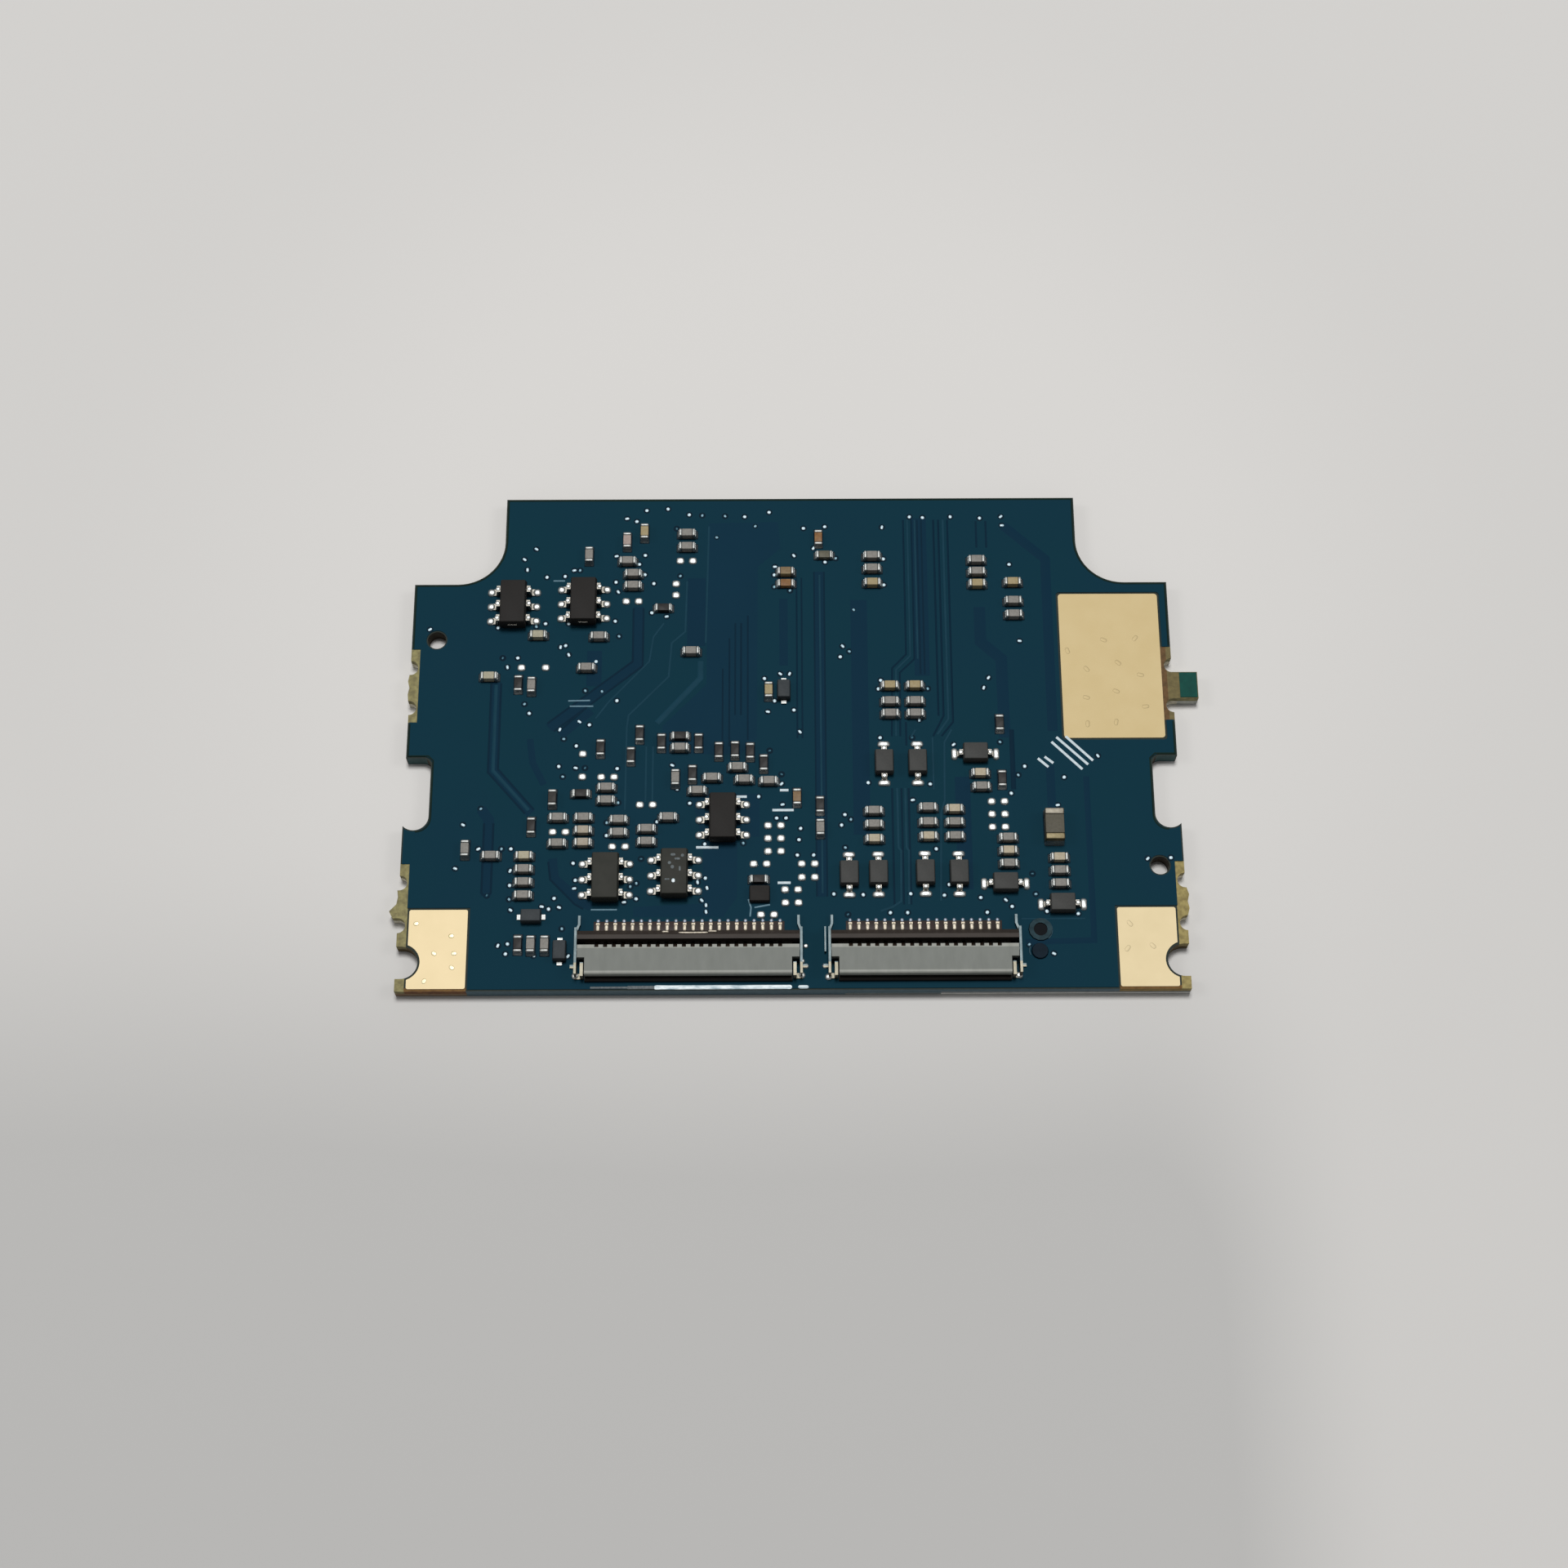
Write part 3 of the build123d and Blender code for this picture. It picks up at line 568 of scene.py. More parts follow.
# A faint painted glint: only a paler blue.
MASK_VIA_FAINT_GLINT = Finish(
    "solder mask over a via, with a faint painted glint", "#3A6575", "#2A5363", grain=0.12, roughness=0.3, specular=0.3,
)
# Thick lacquer round a via or a chip rings it darkly.
MASK_SUNK = Finish(
    "thick solder mask round a via", "#041A27", "#061F2C", grain=0.5, roughness=0.6,
    specular=0.04,
)
# At a routed edge the lacquer thins, and the brown laminate darkens it.
MASK_RIM = Finish("solder mask thinned at an edge", "#0E1D1A", "#12241D", grain=0.6, **CURED)
# On bare laminate the lacquer's own green shows.
TAB_MASK = Finish(
    "green solder mask on the tab", "#063B34", "#08453C", grain=0.5, contrast=0.4, roughness=0.6,
    specular=0.1, relief=0.01, relief_grain=0.3,
)
# Glass cloth in epoxy, routed: a dull yellow-brown cut edge, with pale broken fibres at the tabs.
# The weave is too fine to show, so it is drawn as coarser grains.
LAMINATE = ZonedFinish(
    "woven glass laminate", "#2C2519", "#3A3122", roughness=0.65, specular=0.2, relief=0.01,
    relief_grain=0.25,
    zones=(
        Zone("#4E4226", "#5E5030", x=(20.5, 22.9), y=(-15.6, -12.9), z=CUT_EDGE, both_sides=True),
        Zone("#2F4C4E", "#3A5656", x=(21.25, 22.75), y=(-1.45, -1.2), z=CUT_EDGE, both_sides=True),
        Zone("#B5B09E", "#DDD8C8", x=(22.3, 30), y=(-12.4, -8.4), z=CUT_EDGE, both_sides=True),
        Zone("#B5B09E", "#DDD8C8", x=(22.3, 30), y=(1.2, 5.2), z=CUT_EDGE, both_sides=True),
        Zone("#9CA09A", "#B4B6AE", x=(23.1, 30), y=(-4, 5.2), z=CUT_EDGE),
        # The front cut face is drawn grey-blue; the paler bands low on it are a painted reflection
        # of the table.
        Zone("#455C66", "#4D646E", y=FRONT_FACE, z=CUT_EDGE),
        Zone("#73624F", "#806A52", x=(-22.85, -18.7), y=FRONT_FACE, z=(0.02, 0.5)),
        Zone("#6C7474", "#7A8280", x=(3.0, 8.5), y=FRONT_FACE, z=(0.02, 0.3)),
        Zone("#70767A", "#7C8284", x=(8.5, 22.9), y=FRONT_FACE, z=(0.2, 0.5)),
        Zone("#D0D0CA", "#E0E0DA", x=(8.5, 22.9), y=FRONT_FACE, z=(0.02, 0.24)),
        Zone("#5A3418", "#7A5228", x=(18.7, 22.85), y=FRONT_FACE, z=(0.45, 0.94), both_sides=True),
        Zone("#7A6434", "#8F7740", x=(18.7, 22.85), y=FRONT_FACE, z=(0.45, 0.94)),
        Zone("#1A2420", "#202A24", z=TOP_EDGE),
        Zone("#5A3E18", "#6E5024", x=(18.7, 22.7), y=(-15.8, -15.5), z=TOP_EDGE, both_sides=True),
        Zone("#6B6444", "#8B8458", x=(22.24, 30), y=(-15.8, -8.0), z=(0.5, 1.2), both_sides=True),
        Zone("#6B6444", "#8B8458", x=(22.24, 30), y=(0.9, 5.65), z=(0.5, 1.2), both_sides=True),
        Zone("#776A40", "#988A56", x=(22.24, 30), y=(-15.8, -8.0), z=(0.5, 1.2)),
        Zone("#5A5031", "#6C613C", x=(22.24, 30), y=(0.9, 5.65), z=TOP_EDGE),
        Zone("#4E3A1E", "#64492A", x=(21.9, 22.5), y=(0.9, 5.65), z=TOP_EDGE),
        Zone("#0E3344", "#103647", z=(-0.1, 0.02)),
    ),
)
# Laid chemically over matt nickel: a satin pale gold with no mirror in it.
GOLD = ZonedFinish(
    "immersion gold over nickel", "#BEAE88", "#BAA981", grain=1.6, contrast=0.2, roughness=0.7,
    metallic=1.0,
    zones=(
        # The front pads are painted paler: a painted reflection of the lamp that they face.
        Zone("#D9CAA8", "#D4C5A2", x=(-23, 0), y=(-15.8, -10.0), z=(0.9, 1.1)),
        Zone("#D0C2A1", "#CABC9A", x=(0, 23), y=(-15.8, -10.0), z=(0.9, 1.1)),
    ),
)
# On a via's dome on the left pad it is painted almost white: a painted glint.
GOLD_GLINT = Finish(
    "immersion gold with a painted glint on a raised via", "#F2E7C8", "#D8C89C", grain=0.15, roughness=0.55,
    metallic=1.0,
)
# Melted tin that set in fine wrinkles: bright, with broken highlights. The wrinkles are drawn
# coarser.
SOLDER = Finish(
    "reflowed tin solder", "#D2D4D1", "#A9ACAA", grain=0.16, roughness=0.44, metallic=1.0,
    relief=0.016, relief_grain=0.14,
)
# Thin and stretched up a chip's end, it is duller than a full drop.
FILLET = Finish(
    "reflowed solder fillet", "#A9ABA9", "#8C8F8E", grain=0.16, roughness=0.48, metallic=1.0,
    relief=0.014, relief_grain=0.14,
)
# Barrel-plated tin: a soft satin grey with no clear reflection.
TIN = Finish(
    "tin-plated chip end", "#A3A5A3", "#8F918E", grain=0.15, roughness=0.52, metallic=1.0,
    relief=0.008,
)
# Plated before it was bent and dulled by the oven: a darker grey.
LEAD_TIN = Finish("tin-plated copper lead", "#8C8981", "#76736C", grain=0.15, metallic=1.0)
# A thinly plated stamped spring: warm grey; a painted shadow makes it near black in the housing.
BRONZE = ZonedFinish(
    "tinned bronze contact", "#948B7C", "#7C7466", grain=0.2, metallic=1.0,
    zones=(Zone("#120E0B", "#1A1410", y=(-16, -12.55)),),
)
# Stamped steel with matt tin: a cool grey, warmer on the front hooks.
CLIP_TIN = ZonedFinish(
    "tin-plated steel clip", "#606A6C", "#4E585A", grain=0.4, roughness=0.52, metallic=1.0,
    relief=0.008, relief_grain=0.15,
    zones=(Zone("#837F72", "#716D60", y=(-16, -14.3)),),
)
# Filled resin flows in streaks: matt grey with faint long grains and paler edges.
LATCH = ZonedFinish(
    "grey moulded liquid-crystal polymer", "#747772", "#6D706B", grain=0.7, stretch=(0.6, 1.8, 1),
    contrast=0.3, roughness=0.6, specular=0.2, relief=0.006, relief_grain=0.4,
    zones=(
        Zone("#93948E", "#888A84", y=(LATCH_FRONT, LATCH_FRONT + 0.17)),
        Zone("#94958F", "#85877F", y=(LATCH_REAR - 0.2, LATCH_REAR)),
    ),
)
# The same resin in black: dull and slightly brown. The wall behind the latch is painted paler:
# a painted highlight on its lit top.
HOUSING = ZonedFinish(
    "black moulded liquid-crystal polymer", "#14110F", "#1C1816", grain=0.6, stretch=(3, 1, 1),
    contrast=0.4, roughness=0.55, specular=0.15,
    zones=(Zone("#302A26", "#37302B", y=(-12.95, -12.2)),),
)
# Pressed epoxy and silica: matt black with an even grain, drawn coarser than it is.
EPOXY = Finish(
    "black epoxy moulding compound", "#1E1C1B", "#22201E", grain=0.12, contrast=0.2,
    roughness=0.65, specular=0.15,
)
# A film of flux greys the black.
EPOXY_PALE = Finish(
    "black epoxy moulding compound with dried flux", "#262722", "#2D2D28", grain=0.5,
    contrast=0.2, roughness=0.65, specular=0.2,
)
# A finer powder looks blue-grey.
SMALL_EPOXY = Finish(
    "blue-grey epoxy moulding compound", "#2A2F32", "#32373A", grain=0.12, contrast=0.2,
    roughness=0.6, specular=0.2,
)
# A rougher mould leaves a charcoal top.
DIODE_EPOXY = Finish(
    "charcoal epoxy moulding compound", "#343534", "#3B3B39", grain=0.12, contrast=0.2,
    roughness=0.6, specular=0.2,
)
# Fired and tumbled: matt and stony, with a fine fleck.
GREY_CERAMIC = ZonedFinish(
    "fired grey capacitor ceramic", "#716E69", "#807D77", grain=0.12, contrast=0.4, roughness=0.6,
    specular=0.3,
    zones=(Zone("#211F1D", "#2B2825", x=(-14.5, -13.6), y=(-4.5, -3.3)),),
)
# Another powder fires tan, and batches differ from greenish to brown.
TAN_CERAMIC = ZonedFinish(
    "fired tan capacitor ceramic", "#9D917A", "#A89F8B", grain=0.12, contrast=0.4, roughness=0.6,
    specular=0.3,
    zones=(
        Zone("#8C7C57", "#968969", y=(0, 16)),
        Zone("#8F8A76", "#A09A85", x=(-20, -9), y=(1.5, 9.5)),
        Zone("#8E7F78", "#9A8C84", x=(-10.6, -9.4), y=(12.2, 13.7)),
        Zone("#6A583C", "#776448", x=(-1.2, 0.4), y=(10.4, 11.3)),
        Zone("#989179", "#A39E89", x=(-18, -4), y=(-12, 0)),
        Zone("#918775", "#9B9386", x=(-13.2, -11.4), y=(-7.3, -5.2)),
    ),
)
# A large block fires darker: a dull brown.
BROWN_CERAMIC = Finish(
    "fired brown capacitor ceramic", "#4A473C", "#545045", grain=0.15, contrast=0.3,
    roughness=0.6, specular=0.2,
)
# A broad plated end: dull grey, browner in front.
LARGE_END = ZonedFinish(
    "tin-plated end of the large capacitor", "#827D72", "#746F64", grain=0.2, roughness=0.55,
    metallic=1.0,
    zones=(Zone("#766D56", "#686049", y=(-12, -6)),),
)
# Printed glass: nearly black and smooth, with a few bodies brown.
RESISTOR_GLASS = ZonedFinish(
    "dark glass over a resistor", "#1B1A1A", "#252321", grain=0.2, contrast=0.4, specular=0.2,
    zones=(
        Zone("#6E4A2A", "#80603C", x=(-2, 0.6), y=(9.4, 10.6)),
        Zone("#6E4A2A", "#80603C", x=(0.8, 2.6), y=(12.5, 14)),
        Zone("#4E4C40", "#5C594A", x=(1.2, 2.9), y=(11.4, 12.4)),
        Zone("#6A543C", "#7A6448", x=(-0.1, 0.7), y=(-4.4, -3.2)),
    ),
)
# Dropped on wet, it set as a dark blot whose middle sank; its edge shows the blue below.
RESIN = ZonedFinish(
    "dark sealing resin", "#05151F", "#0A1B27", grain=0.4, contrast=0.4, specular=0.04,
    zones=(
        Zone("#020509", "#04080E", x=(13.5, 15.1), y=(-12.9, -11.4), z=(1.0, 1.06)),
        Zone("#1A2C32", "#2A4047", x=(13.5, 15.1), y=(-12.9, -11.4), z=(1.06, 1.2)),
    ),
)
# Its rim stays wet-looking: a thin blue-grey line.
RESIN_RIM = Finish("wet rim of the resin", "#264654", "#1B3844", specular=0.1)
# Printed through a mesh: a flat, matt, bluish white.
INK = Finish(
    "white legend ink", "#C6D1D5", "#AFBEC4", grain=0.25, contrast=0.4, roughness=0.6,
    specular=0.2,
)
# Where the ink is worn, the blue comes through.
DIM_INK = Finish(
    "worn legend ink", "#5E7E8B", "#4C6B79", grain=0.2, contrast=0.4, roughness=0.6, specular=0.2,
)
# A white crust with grey hollows, drawn coarser than its crystals. Along the left socket's
# front the same white is a painted glint of the lamp on a ridge.
RESIDUE_AND_GLINT = Finish(
    "white flux residue and painted glint", "#DDE6E8", "#8FA4AC", grain=0.35, stretch=(2, 0.6, 1), contrast=0.6,
    roughness=0.4, relief=0.02, relief_grain=0.15,
)
# A thin film only greys what lies under it. Left of the socket's bead it paints the glint's
# fainter run.
DULL_RESIDUE_AND_GLINT = Finish(
    "dull flux residue and faint painted glint", "#646B6D", "#4C5355", grain=0.1, roughness=0.6, specular=0.2,
)
# Burnt to a dark red-brown glaze between the tails.
FLUX = Finish("burnt flux between the contacts", "#26120D", "#17130D", grain=1.3, specular=0.2)
# Thin solder over bronze keeps a warm cream tone. The same cream paints the highlight streaks
# on the housing's crest.
TAIL_CREAM = Finish(
    "solder on a contact's tail and painted crest highlight", "#C0B9AB", "#9F9787", grain=0.1, roughness=0.6, metallic=1.0,
)
# At the toe it runs thin and takes on the board's blue.
TAIL_BLUE = Finish(
    "thin solder at a contact's toe", "#9AA2AE", "#7A8490", grain=0.1, roughness=0.55,
    metallic=1.0,
)
# Rolled paint: matt and pale, with a faint ripple drawn coarse; a painted shadow darkens its
# front.
TABLE = ShadowPaintedFinish(
    "painted table top", "#B3B2B0", "#CDCBC8", roughness=0.8, specular=0.1, relief=0.01,
    relief_grain=2.5,
)


@cache
def material_of(finish: Finish) -> bpy.types.Material:
    """The material of a finish, made once."""
    return finish.build()


# --- pieces --------------------------------------------------------------------------------
def make_piece(name: str, shape: Shape, finish: Finish) -> bpy.types.Object:
    """Makes one Blender object of a shape, which rides on the board.

    Args:
        name: The piece's name.
        shape: The shape, in the model's frame, in millimetres.
        finish: What it is finished with.

    Returns:
        The object.
    """
    mesh = bpy.data.meshes.new(name)
    corners = [row for block in shape.faces for row in block.tolist()]
    mesh.from_pydata((shape.points * MM).tolist(), [], corners)
    mesh.materials.append(material_of(finish))
    mesh.shade_smooth()
    mesh.set_sharp_from_angle(angle=SHARP_ANGLE)
    piece = bpy.data.objects.new(name, mesh)
    bpy.context.scene.collection.objects.link(piece)
    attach(piece, "board")
    log.info("%s: %d faces", name, len(corners))
    return piece


def seat(x: float, y: float, height: float = 0.0) -> Place:
    """A place on the board's top, as a row for Shape.at."""
    return (x, y - BOARD_DEPTH / 2, BOARD_TOP + height, 0.0)


def lay(name: str, shapes: list[Shape], finish: Finish) -> None:
    """Sets shapes that are drawn from the middle of the board's front edge on it as one piece."""
    make_piece(name, joined(shapes).at([seat(0, 0)]), finish)


def drops(rows: tuple[Drop, ...], rise: float, base: float = 0.0) -> Shape:
    """Mounds that all rise by one height, from one base above the board."""
    return joined([mound(wide, deep, rise).at([seat(x, y, base)]) for x, y, wide, deep in rows])


def solids_of(node: str, corners: int) -> np.ndarray:
    """The corner points of each solid in a node of alike solids.

    Args:
        node: The node's name.
        corners: How many points the mesh has for one solid.

    Returns:
        Array (solids, corners, 3) in millimetres.
    """
    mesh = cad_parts[node].data
    points = np.empty(len(mesh.vertices) * 3, np.float32)
    mesh.vertices.foreach_get("co", points)
    return points.reshape(-1, corners, 3).astype(float) / MM


def box_of(node: str) -> tuple[np.ndarray, np.ndarray]:
    """The low and the high corner of a node, in millimetres."""
    low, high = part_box(node)
    return np.array(low) / MM, np.array(high) / MM


def dress(node: str, finish: Finish) -> None:
    """Gives a node of the model its finish."""
    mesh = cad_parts[node].data
    mesh.materials.clear()
    mesh.materials.append(material_of(finish))


# --- the board -----------------------------------------------------------------------------
# Tented vias, from the rear of the board to the front.
VIAS: Points = [
    (-15.5, 28), (-16.2, 27.3), (-16, 26.6), (-14.8, 26.1), (-13.15, 26.55), (-12.8, 26.55),
    (-13.7, 26.15), (-10, 30.05), (-9.4, 29.85), (-8.8, 30.6), (-7.5, 30.7), (-6.2, 30.3),
    (-5.4, 30.25), (-8.85, 27.55), (-9.2, 26.95), (-8.85, 26.25), (-8.3, 25.65), (-10.6, 25.75),
    (-10.45, 25.1), (-10.6, 27.5), (-6.95, 29.35), (-6.7, 26.15), (-8.4, 23.7), (-7.5, 23.45),
    (-4, 30.2), (-2.8, 30.15), (-2.15, 29.5), (-1.3, 30.45), (-4.5, 28.75), (0.8, 29.35),
    (0.2, 27.5), (-0.95, 26.75), (-1, 26.2), (-1, 25.4), (-0.05, 25.15), (1.4, 28), (2.1, 27.05),
    (2.75, 27.3), (2.1, 29.45), (3.8, 23.85), (5.6, 29.4), (5.65, 27.25), (5.65, 25.5),
    (7.3, 30.1), (8.1, 30.05), (9.8, 30.1), (11.6, 30), (12.9, 30.1), (12.95, 29.5),
    (13.3, 26.85), (-14.8, 23), (-15.35, 22.8), (-17.65, 22.75), (-13.4, 23), (-17.3, 20.75),
    (-16.4, 20.75), (-17, 20.15), (-15.9, 17.75), (-15.6, 17.15), (-10.6, 23.15), (-10.35, 22.15),
    (-13.85, 21.45), (-13.55, 21.55), (-13.35, 20.95), (-11.7, 20.5), (-12.3, 18.6),
    (-11.3, 18.55), (-10.4, 17.95), (-12.6, 16.6), (-12, 16.4), (-13.75, 16.1), (-0.65, 19.65),
    (-0.1, 19.65), (-1.6, 19.35), (-1, 17.9), (-1.4, 17.2), (0.15, 17.3), (3.1, 21.45),
    (3.5, 21.1), (2.95, 20.75), (0.5, 15.9), (5.35, 19.2), (5.2, 18.65), (8.15, 18.65),
    (7.6, 16.65), (13.75, 21.75), (11.8, 19.35), (11.5, 18.7), (-13.5, 15.5), (-12.75, 15.05),
    (-13.75, 13.75), (-13.5, 13.1), (-12.75, 13.65), (-12.2, 13.65), (-10.3, 13.6),
    (-18.25, 11.1), (-19.25, 10.1), (-18.3, 8.6), (-16.95, 8.6), (-16.4, 8.6), (-7.05, 13.8),
    (-6.75, 12.3), (-6, 11.4), (-10.2, 11.45), (-7.9, 10.25), (-10.85, 10.2), (-10.85, 9.4),
    (-1.3, 14.7), (-0.6, 13.2), (-0.6, 12.6), (-1.95, 11.8), (-0.55, 11.3), (-0.9, 10.45),
    (-0.35, 10.45), (0.5, 9.8), (0.4, 9.1), (3.1, 10.65), (2.9, 10), (3.45, 10.35), (4.5, 12.65),
    (3.1, 8.6), (1.25, 8.15), (0.3, 8.15), (-5.1, 8.85), (-2.85, 8.9), (12.35, 15.2),
    (13.75, 13.65), (13.35, 13.1), (12.9, 11.95), (8.15, 12.55), (7.1, 11.55), (5.25, 15.5),
    (7.15, 15.5), (16.05, 12.95), (15.6, 11.2), (9.6, 15.05), (8.4, 8.5), (-19.6, 7.4),
    (-17.7, 5.75), (-16.4, 7.25), (-16.4, 6.35), (-16.4, 5.5), (-16.3, 4.85), (-14.5, 5.05),
    (-16.95, 2.7), (-16.4, 2.8), (-16.5, 2.2), (-14.9, 2.1), (-13.8, 5.55), (-13.5, 5),
    (-14.1, 4.9), (-12.75, 7.7), (-13.3, 3.7), (-12.9, 2.05), (-12.6, 6.65), (-12.65, 6.15),
    (-8.8, 7.95), (-9.05, 6.45), (-9.4, 6.25), (-9.05, 5.5), (-9.75, 5.3), (-5.5, 6.5),
    (-5.05, 6.75), (-4.95, 6.15), (-5.25, 5.4), (-5, 5.1), (-5, 4.7), (2.4, 5.75), (4.1, 5.7),
    (3.2, 4.5), (9.1, 6.3), (6.85, 5.75), (8.8, 5.65), (10.9, 5.5), (12.35, 5.35), (12.7, 4.95),
    (5.65, 4.6), (6.65, 4.6), (11.25, 4.6), (14.1, 5.7), (13.95, 6.95), (13.6, 2.65), (15, 2.1),
    (16.5, 4.5), (14.7, 4.65), (20.7, 7.85), (22.05, 7.9), (-21.75, 22.65), (18.1, 14.3),
]
# Legend bars, and worn ones.
INK_BARS: list[Points] = [
    [(15.4, 15.2), (17.15, 13.45)], [(15.7, 15.5), (17.5, 13.75)], [(16.25, 15.55), (17.8, 14)],
    [(14.55, 14.15), (15.15, 13.6)], [(14.95, 14.25), (15.45, 13.85)],
    [(-1.15, 10.95), (0.1, 10.95)], [(-5.6, 8.65), (-4.3, 8.65)], [(-0.85, 6.45), (-0.1, 6.45)],
    [(-3.25, 11.8), (-2.65, 11.8)], [(-0.7, 12.2), (-0.2, 12.2)],
]
WORN_BARS: list[Points] = [
    [(-13.3, 17.95), (-12, 17.97)], [(-13.2, 17.6), (-11.8, 17.6)],
    [(-11.65, 4.85), (-10.15, 4.85)], [(-14.4, 25.85), (-13.7, 25.85)],
    [(-2.55, 5.45), (-2.4, 4.95), (-2.45, 4.4)], [(-2.2, 4.95), (-1.3, 5.12)],
]
# Corridors and wider regions with no copper under the mask.
CORRIDORS: list[Line] = [
    (0.6, [(-9.2, 24.1), (-9.2, 20.3), (-14.4, 16.2)]), (0.5, [(-11.9, 17.3), (-13.7, 15.7)]),
    (0.6, [(-17.63, 19.2), (-17.63, 13.5), (-15.3, 10.8)]),
    (0.4, [(-15.5, 15.5), (-15.3, 14), (-14.6, 12.6)]),
    (0.62, [(-18.25, 11.1), (-17.75, 10.4), (-17.75, 5.7)]),
    (0.5, [(-13.95, 8), (-13.8, 6.8), (-12.3, 5.4), (-11.65, 5)]),
    (1.1, [(-5.7, 26), (-5.7, 21.5)]), (0.65, [(1.72, 26.4), (1.72, 5.6)]),
    (1, [(4.1, 24.5), (4.1, 9.4)]), (0.9, [(7.85, 30), (7.85, 19.5)]),
    (0.7, [(11.4, 24), (11.4, 21.7), (12.6, 20.6), (12.65, 15.5)]),
    (0.6, [(13, 29.5), (15.5, 27.2), (15.5, 15.9)]), (0.9, [(10.05, 13), (10.05, 6)]),
    (0.5, [(15.25, 13.7), (15.25, 11)]), (0.35, [(17.35, 13), (17.35, 2.9), (13.4, 2.8)]),
    (0.9, [(-11.8, 21.2), (-11.8, 18.9)]), (0.5, [(-0.45, 24.6), (-0.45, 20.2)]),
]
NAVY_REGIONS: list[Points] = [
    [(-7.66, 14.5), (-3, 14.5), (-2.05, 15.5), (-2, 26.75), (-0.6, 28), (-0.76, 29.8),
     (-4.9, 29.7), (-5.06, 29.5), (-5.06, 19), (-7.66, 16.3)],
    [(-9.2, 4.4), (-4, 4.4), (-3.2, 5.6), (-3.2, 9.3), (-1.9, 9.3), (-1.9, 12), (-6, 12),
     (-5.2, 9), (-5.2, 5.2), (-9.2, 5)],
]
# Narrow gaps beside traces, then the traces that catch the light.
GAPS: list[Line] = [
    (0.1, [(0.35, 26), (0.35, 15.5)]), (0.1, [(0.65, 26), (0.65, 15.5)]),
    (0.1, [(1.42, 26.4), (1.42, 5.6)]), (0.1, [(2.02, 26.4), (2.02, 5.6)]),
    (0.11, [(6.9, 29.9), (6.9, 20.9), (6.05, 20), (5.95, 15.6)]),
    (0.11, [(7.4, 29.9), (7.4, 20.6), (6.5, 19.7), (6.45, 15.6)]),
    (0.11, [(7.75, 29.9), (7.75, 19.6)]), (0.11, [(8, 29.9), (8, 19.6)]),
    (0.12, [(8.75, 29.9), (8.75, 16.9)]), (0.12, [(9.05, 29.9), (9.05, 16.9), (8.4, 15.6)]),
    (0.12, [(9.6, 29.9), (9.6, 16.5), (8.9, 15.6)]), (0.12, [(6.8, 16.5), (6.8, 15)]),
    (0.12, [(11.35, 29.8), (11.35, 28)]), (0.12, [(11.95, 29.8), (11.95, 28)]),
    (0.12, [(5.9, 12.3), (5.9, 5.1)]), (0.12, [(6.45, 12.3), (6.45, 5.1)]),
    (0.12, [(6.87, 12.3), (6.87, 5.1)]), (0.3, [(13.05, 16), (13.05, 12.2)]),
    (0.12, [(-3, 23), (-3, 17)]), (0.1, [(-3.35, 23), (-3.35, 17)]),
    (0.1, [(-3.7, 22), (-3.7, 15)]), (0.1, [(-4.1, 20), (-4.1, 15)]),
    (0.1, [(-2.6, 23.5), (-2.6, 15.4)]), (0.13, [(-17.92, 19.1), (-17.92, 13.4), (-15.65, 10.8)]),
    (0.13, [(-17.34, 19.1), (-17.34, 13.6), (-15.15, 11.05)]),
    (0.13, [(-18.02, 10.2), (-18.02, 5.9), (-17.75, 5.62), (-17.48, 5.9), (-17.48, 10.2)]),
    (0.12, [(-9.5, 24), (-9.5, 20.5), (-14.5, 16.5)]),
    (0.12, [(-8.9, 24), (-8.9, 20.2), (-14.1, 16)]), (0.12, [(-12.2, 17.5), (-13.8, 16)]),
    (0.12, [(-14.2, 7.8), (-14.05, 6.7), (-12.6, 5.2), (-12.1, 4.9)]),
]
LIGHT_TRACES: list[Line] = [
    (0.12, [(-4.98, 29.5), (-5.13, 21.7)]), (0.34, [(-5.43, 20.5), (-5.43, 19.4), (-8, 16.5)]),
    (0.12, [(-6.28, 25.8), (-6.36, 22.45), (-7.17, 21.7), (-7.33, 19.5), (-9.69, 17),
     (-9.78, 16.2), (-9.8, 11)]),
    (0.11, [(-7.66, 23), (-8.28, 22.1), (-8.5, 20.5), (-10.9, 17.85), (-11.65, 16.8)]),
    (0.22, [(-17.63, 19), (-17.63, 13.5), (-15.45, 11)]), (0.12, [(-8.6, 15), (-8.6, 11.5)]),
    (0.12, [(-8.2, 15), (-8.2, 11.5)]), (0.12, [(1.75, 26.2), (1.75, 5.8)]),
    (0.11, [(7.15, 29.9), (7.15, 20.8), (6.28, 19.9), (6.2, 15.6)]),
    (0.11, [(7.6, 29.9), (7.6, 20.6)]), (0.13, [(9.33, 29.9), (9.33, 16.7), (8.65, 15.7)]),
    (0.14, [(6.2, 12.3), (6.2, 8.6), (6.35, 8.4), (6.3, 5.3), (5.8, 4.95), (5.1, 4.7)]),
    (0.14, [(6.67, 12.3), (6.67, 8.6), (6.8, 8.4), (6.75, 5.1)]),
    (0.12, [(7.36, 16), (7.05, 15.5)]), (0.11, [(8.35, 15.5), (8.35, 12.2)]),
    (0.12, [(9.5, 16), (9.05, 15.2), (8.97, 11.5), (8.75, 10.8), (8.6, 5.3)]),
    (0.1, [(13.2, 4.2), (16.9, 4.2)]),
]


@dataclass(frozen=True)
class Via:
    """One kind of filled via: the size of its dip, the finish that paints its glint, and its share.
    """

    width: float
    depth: float
    finish: Finish
    share: float


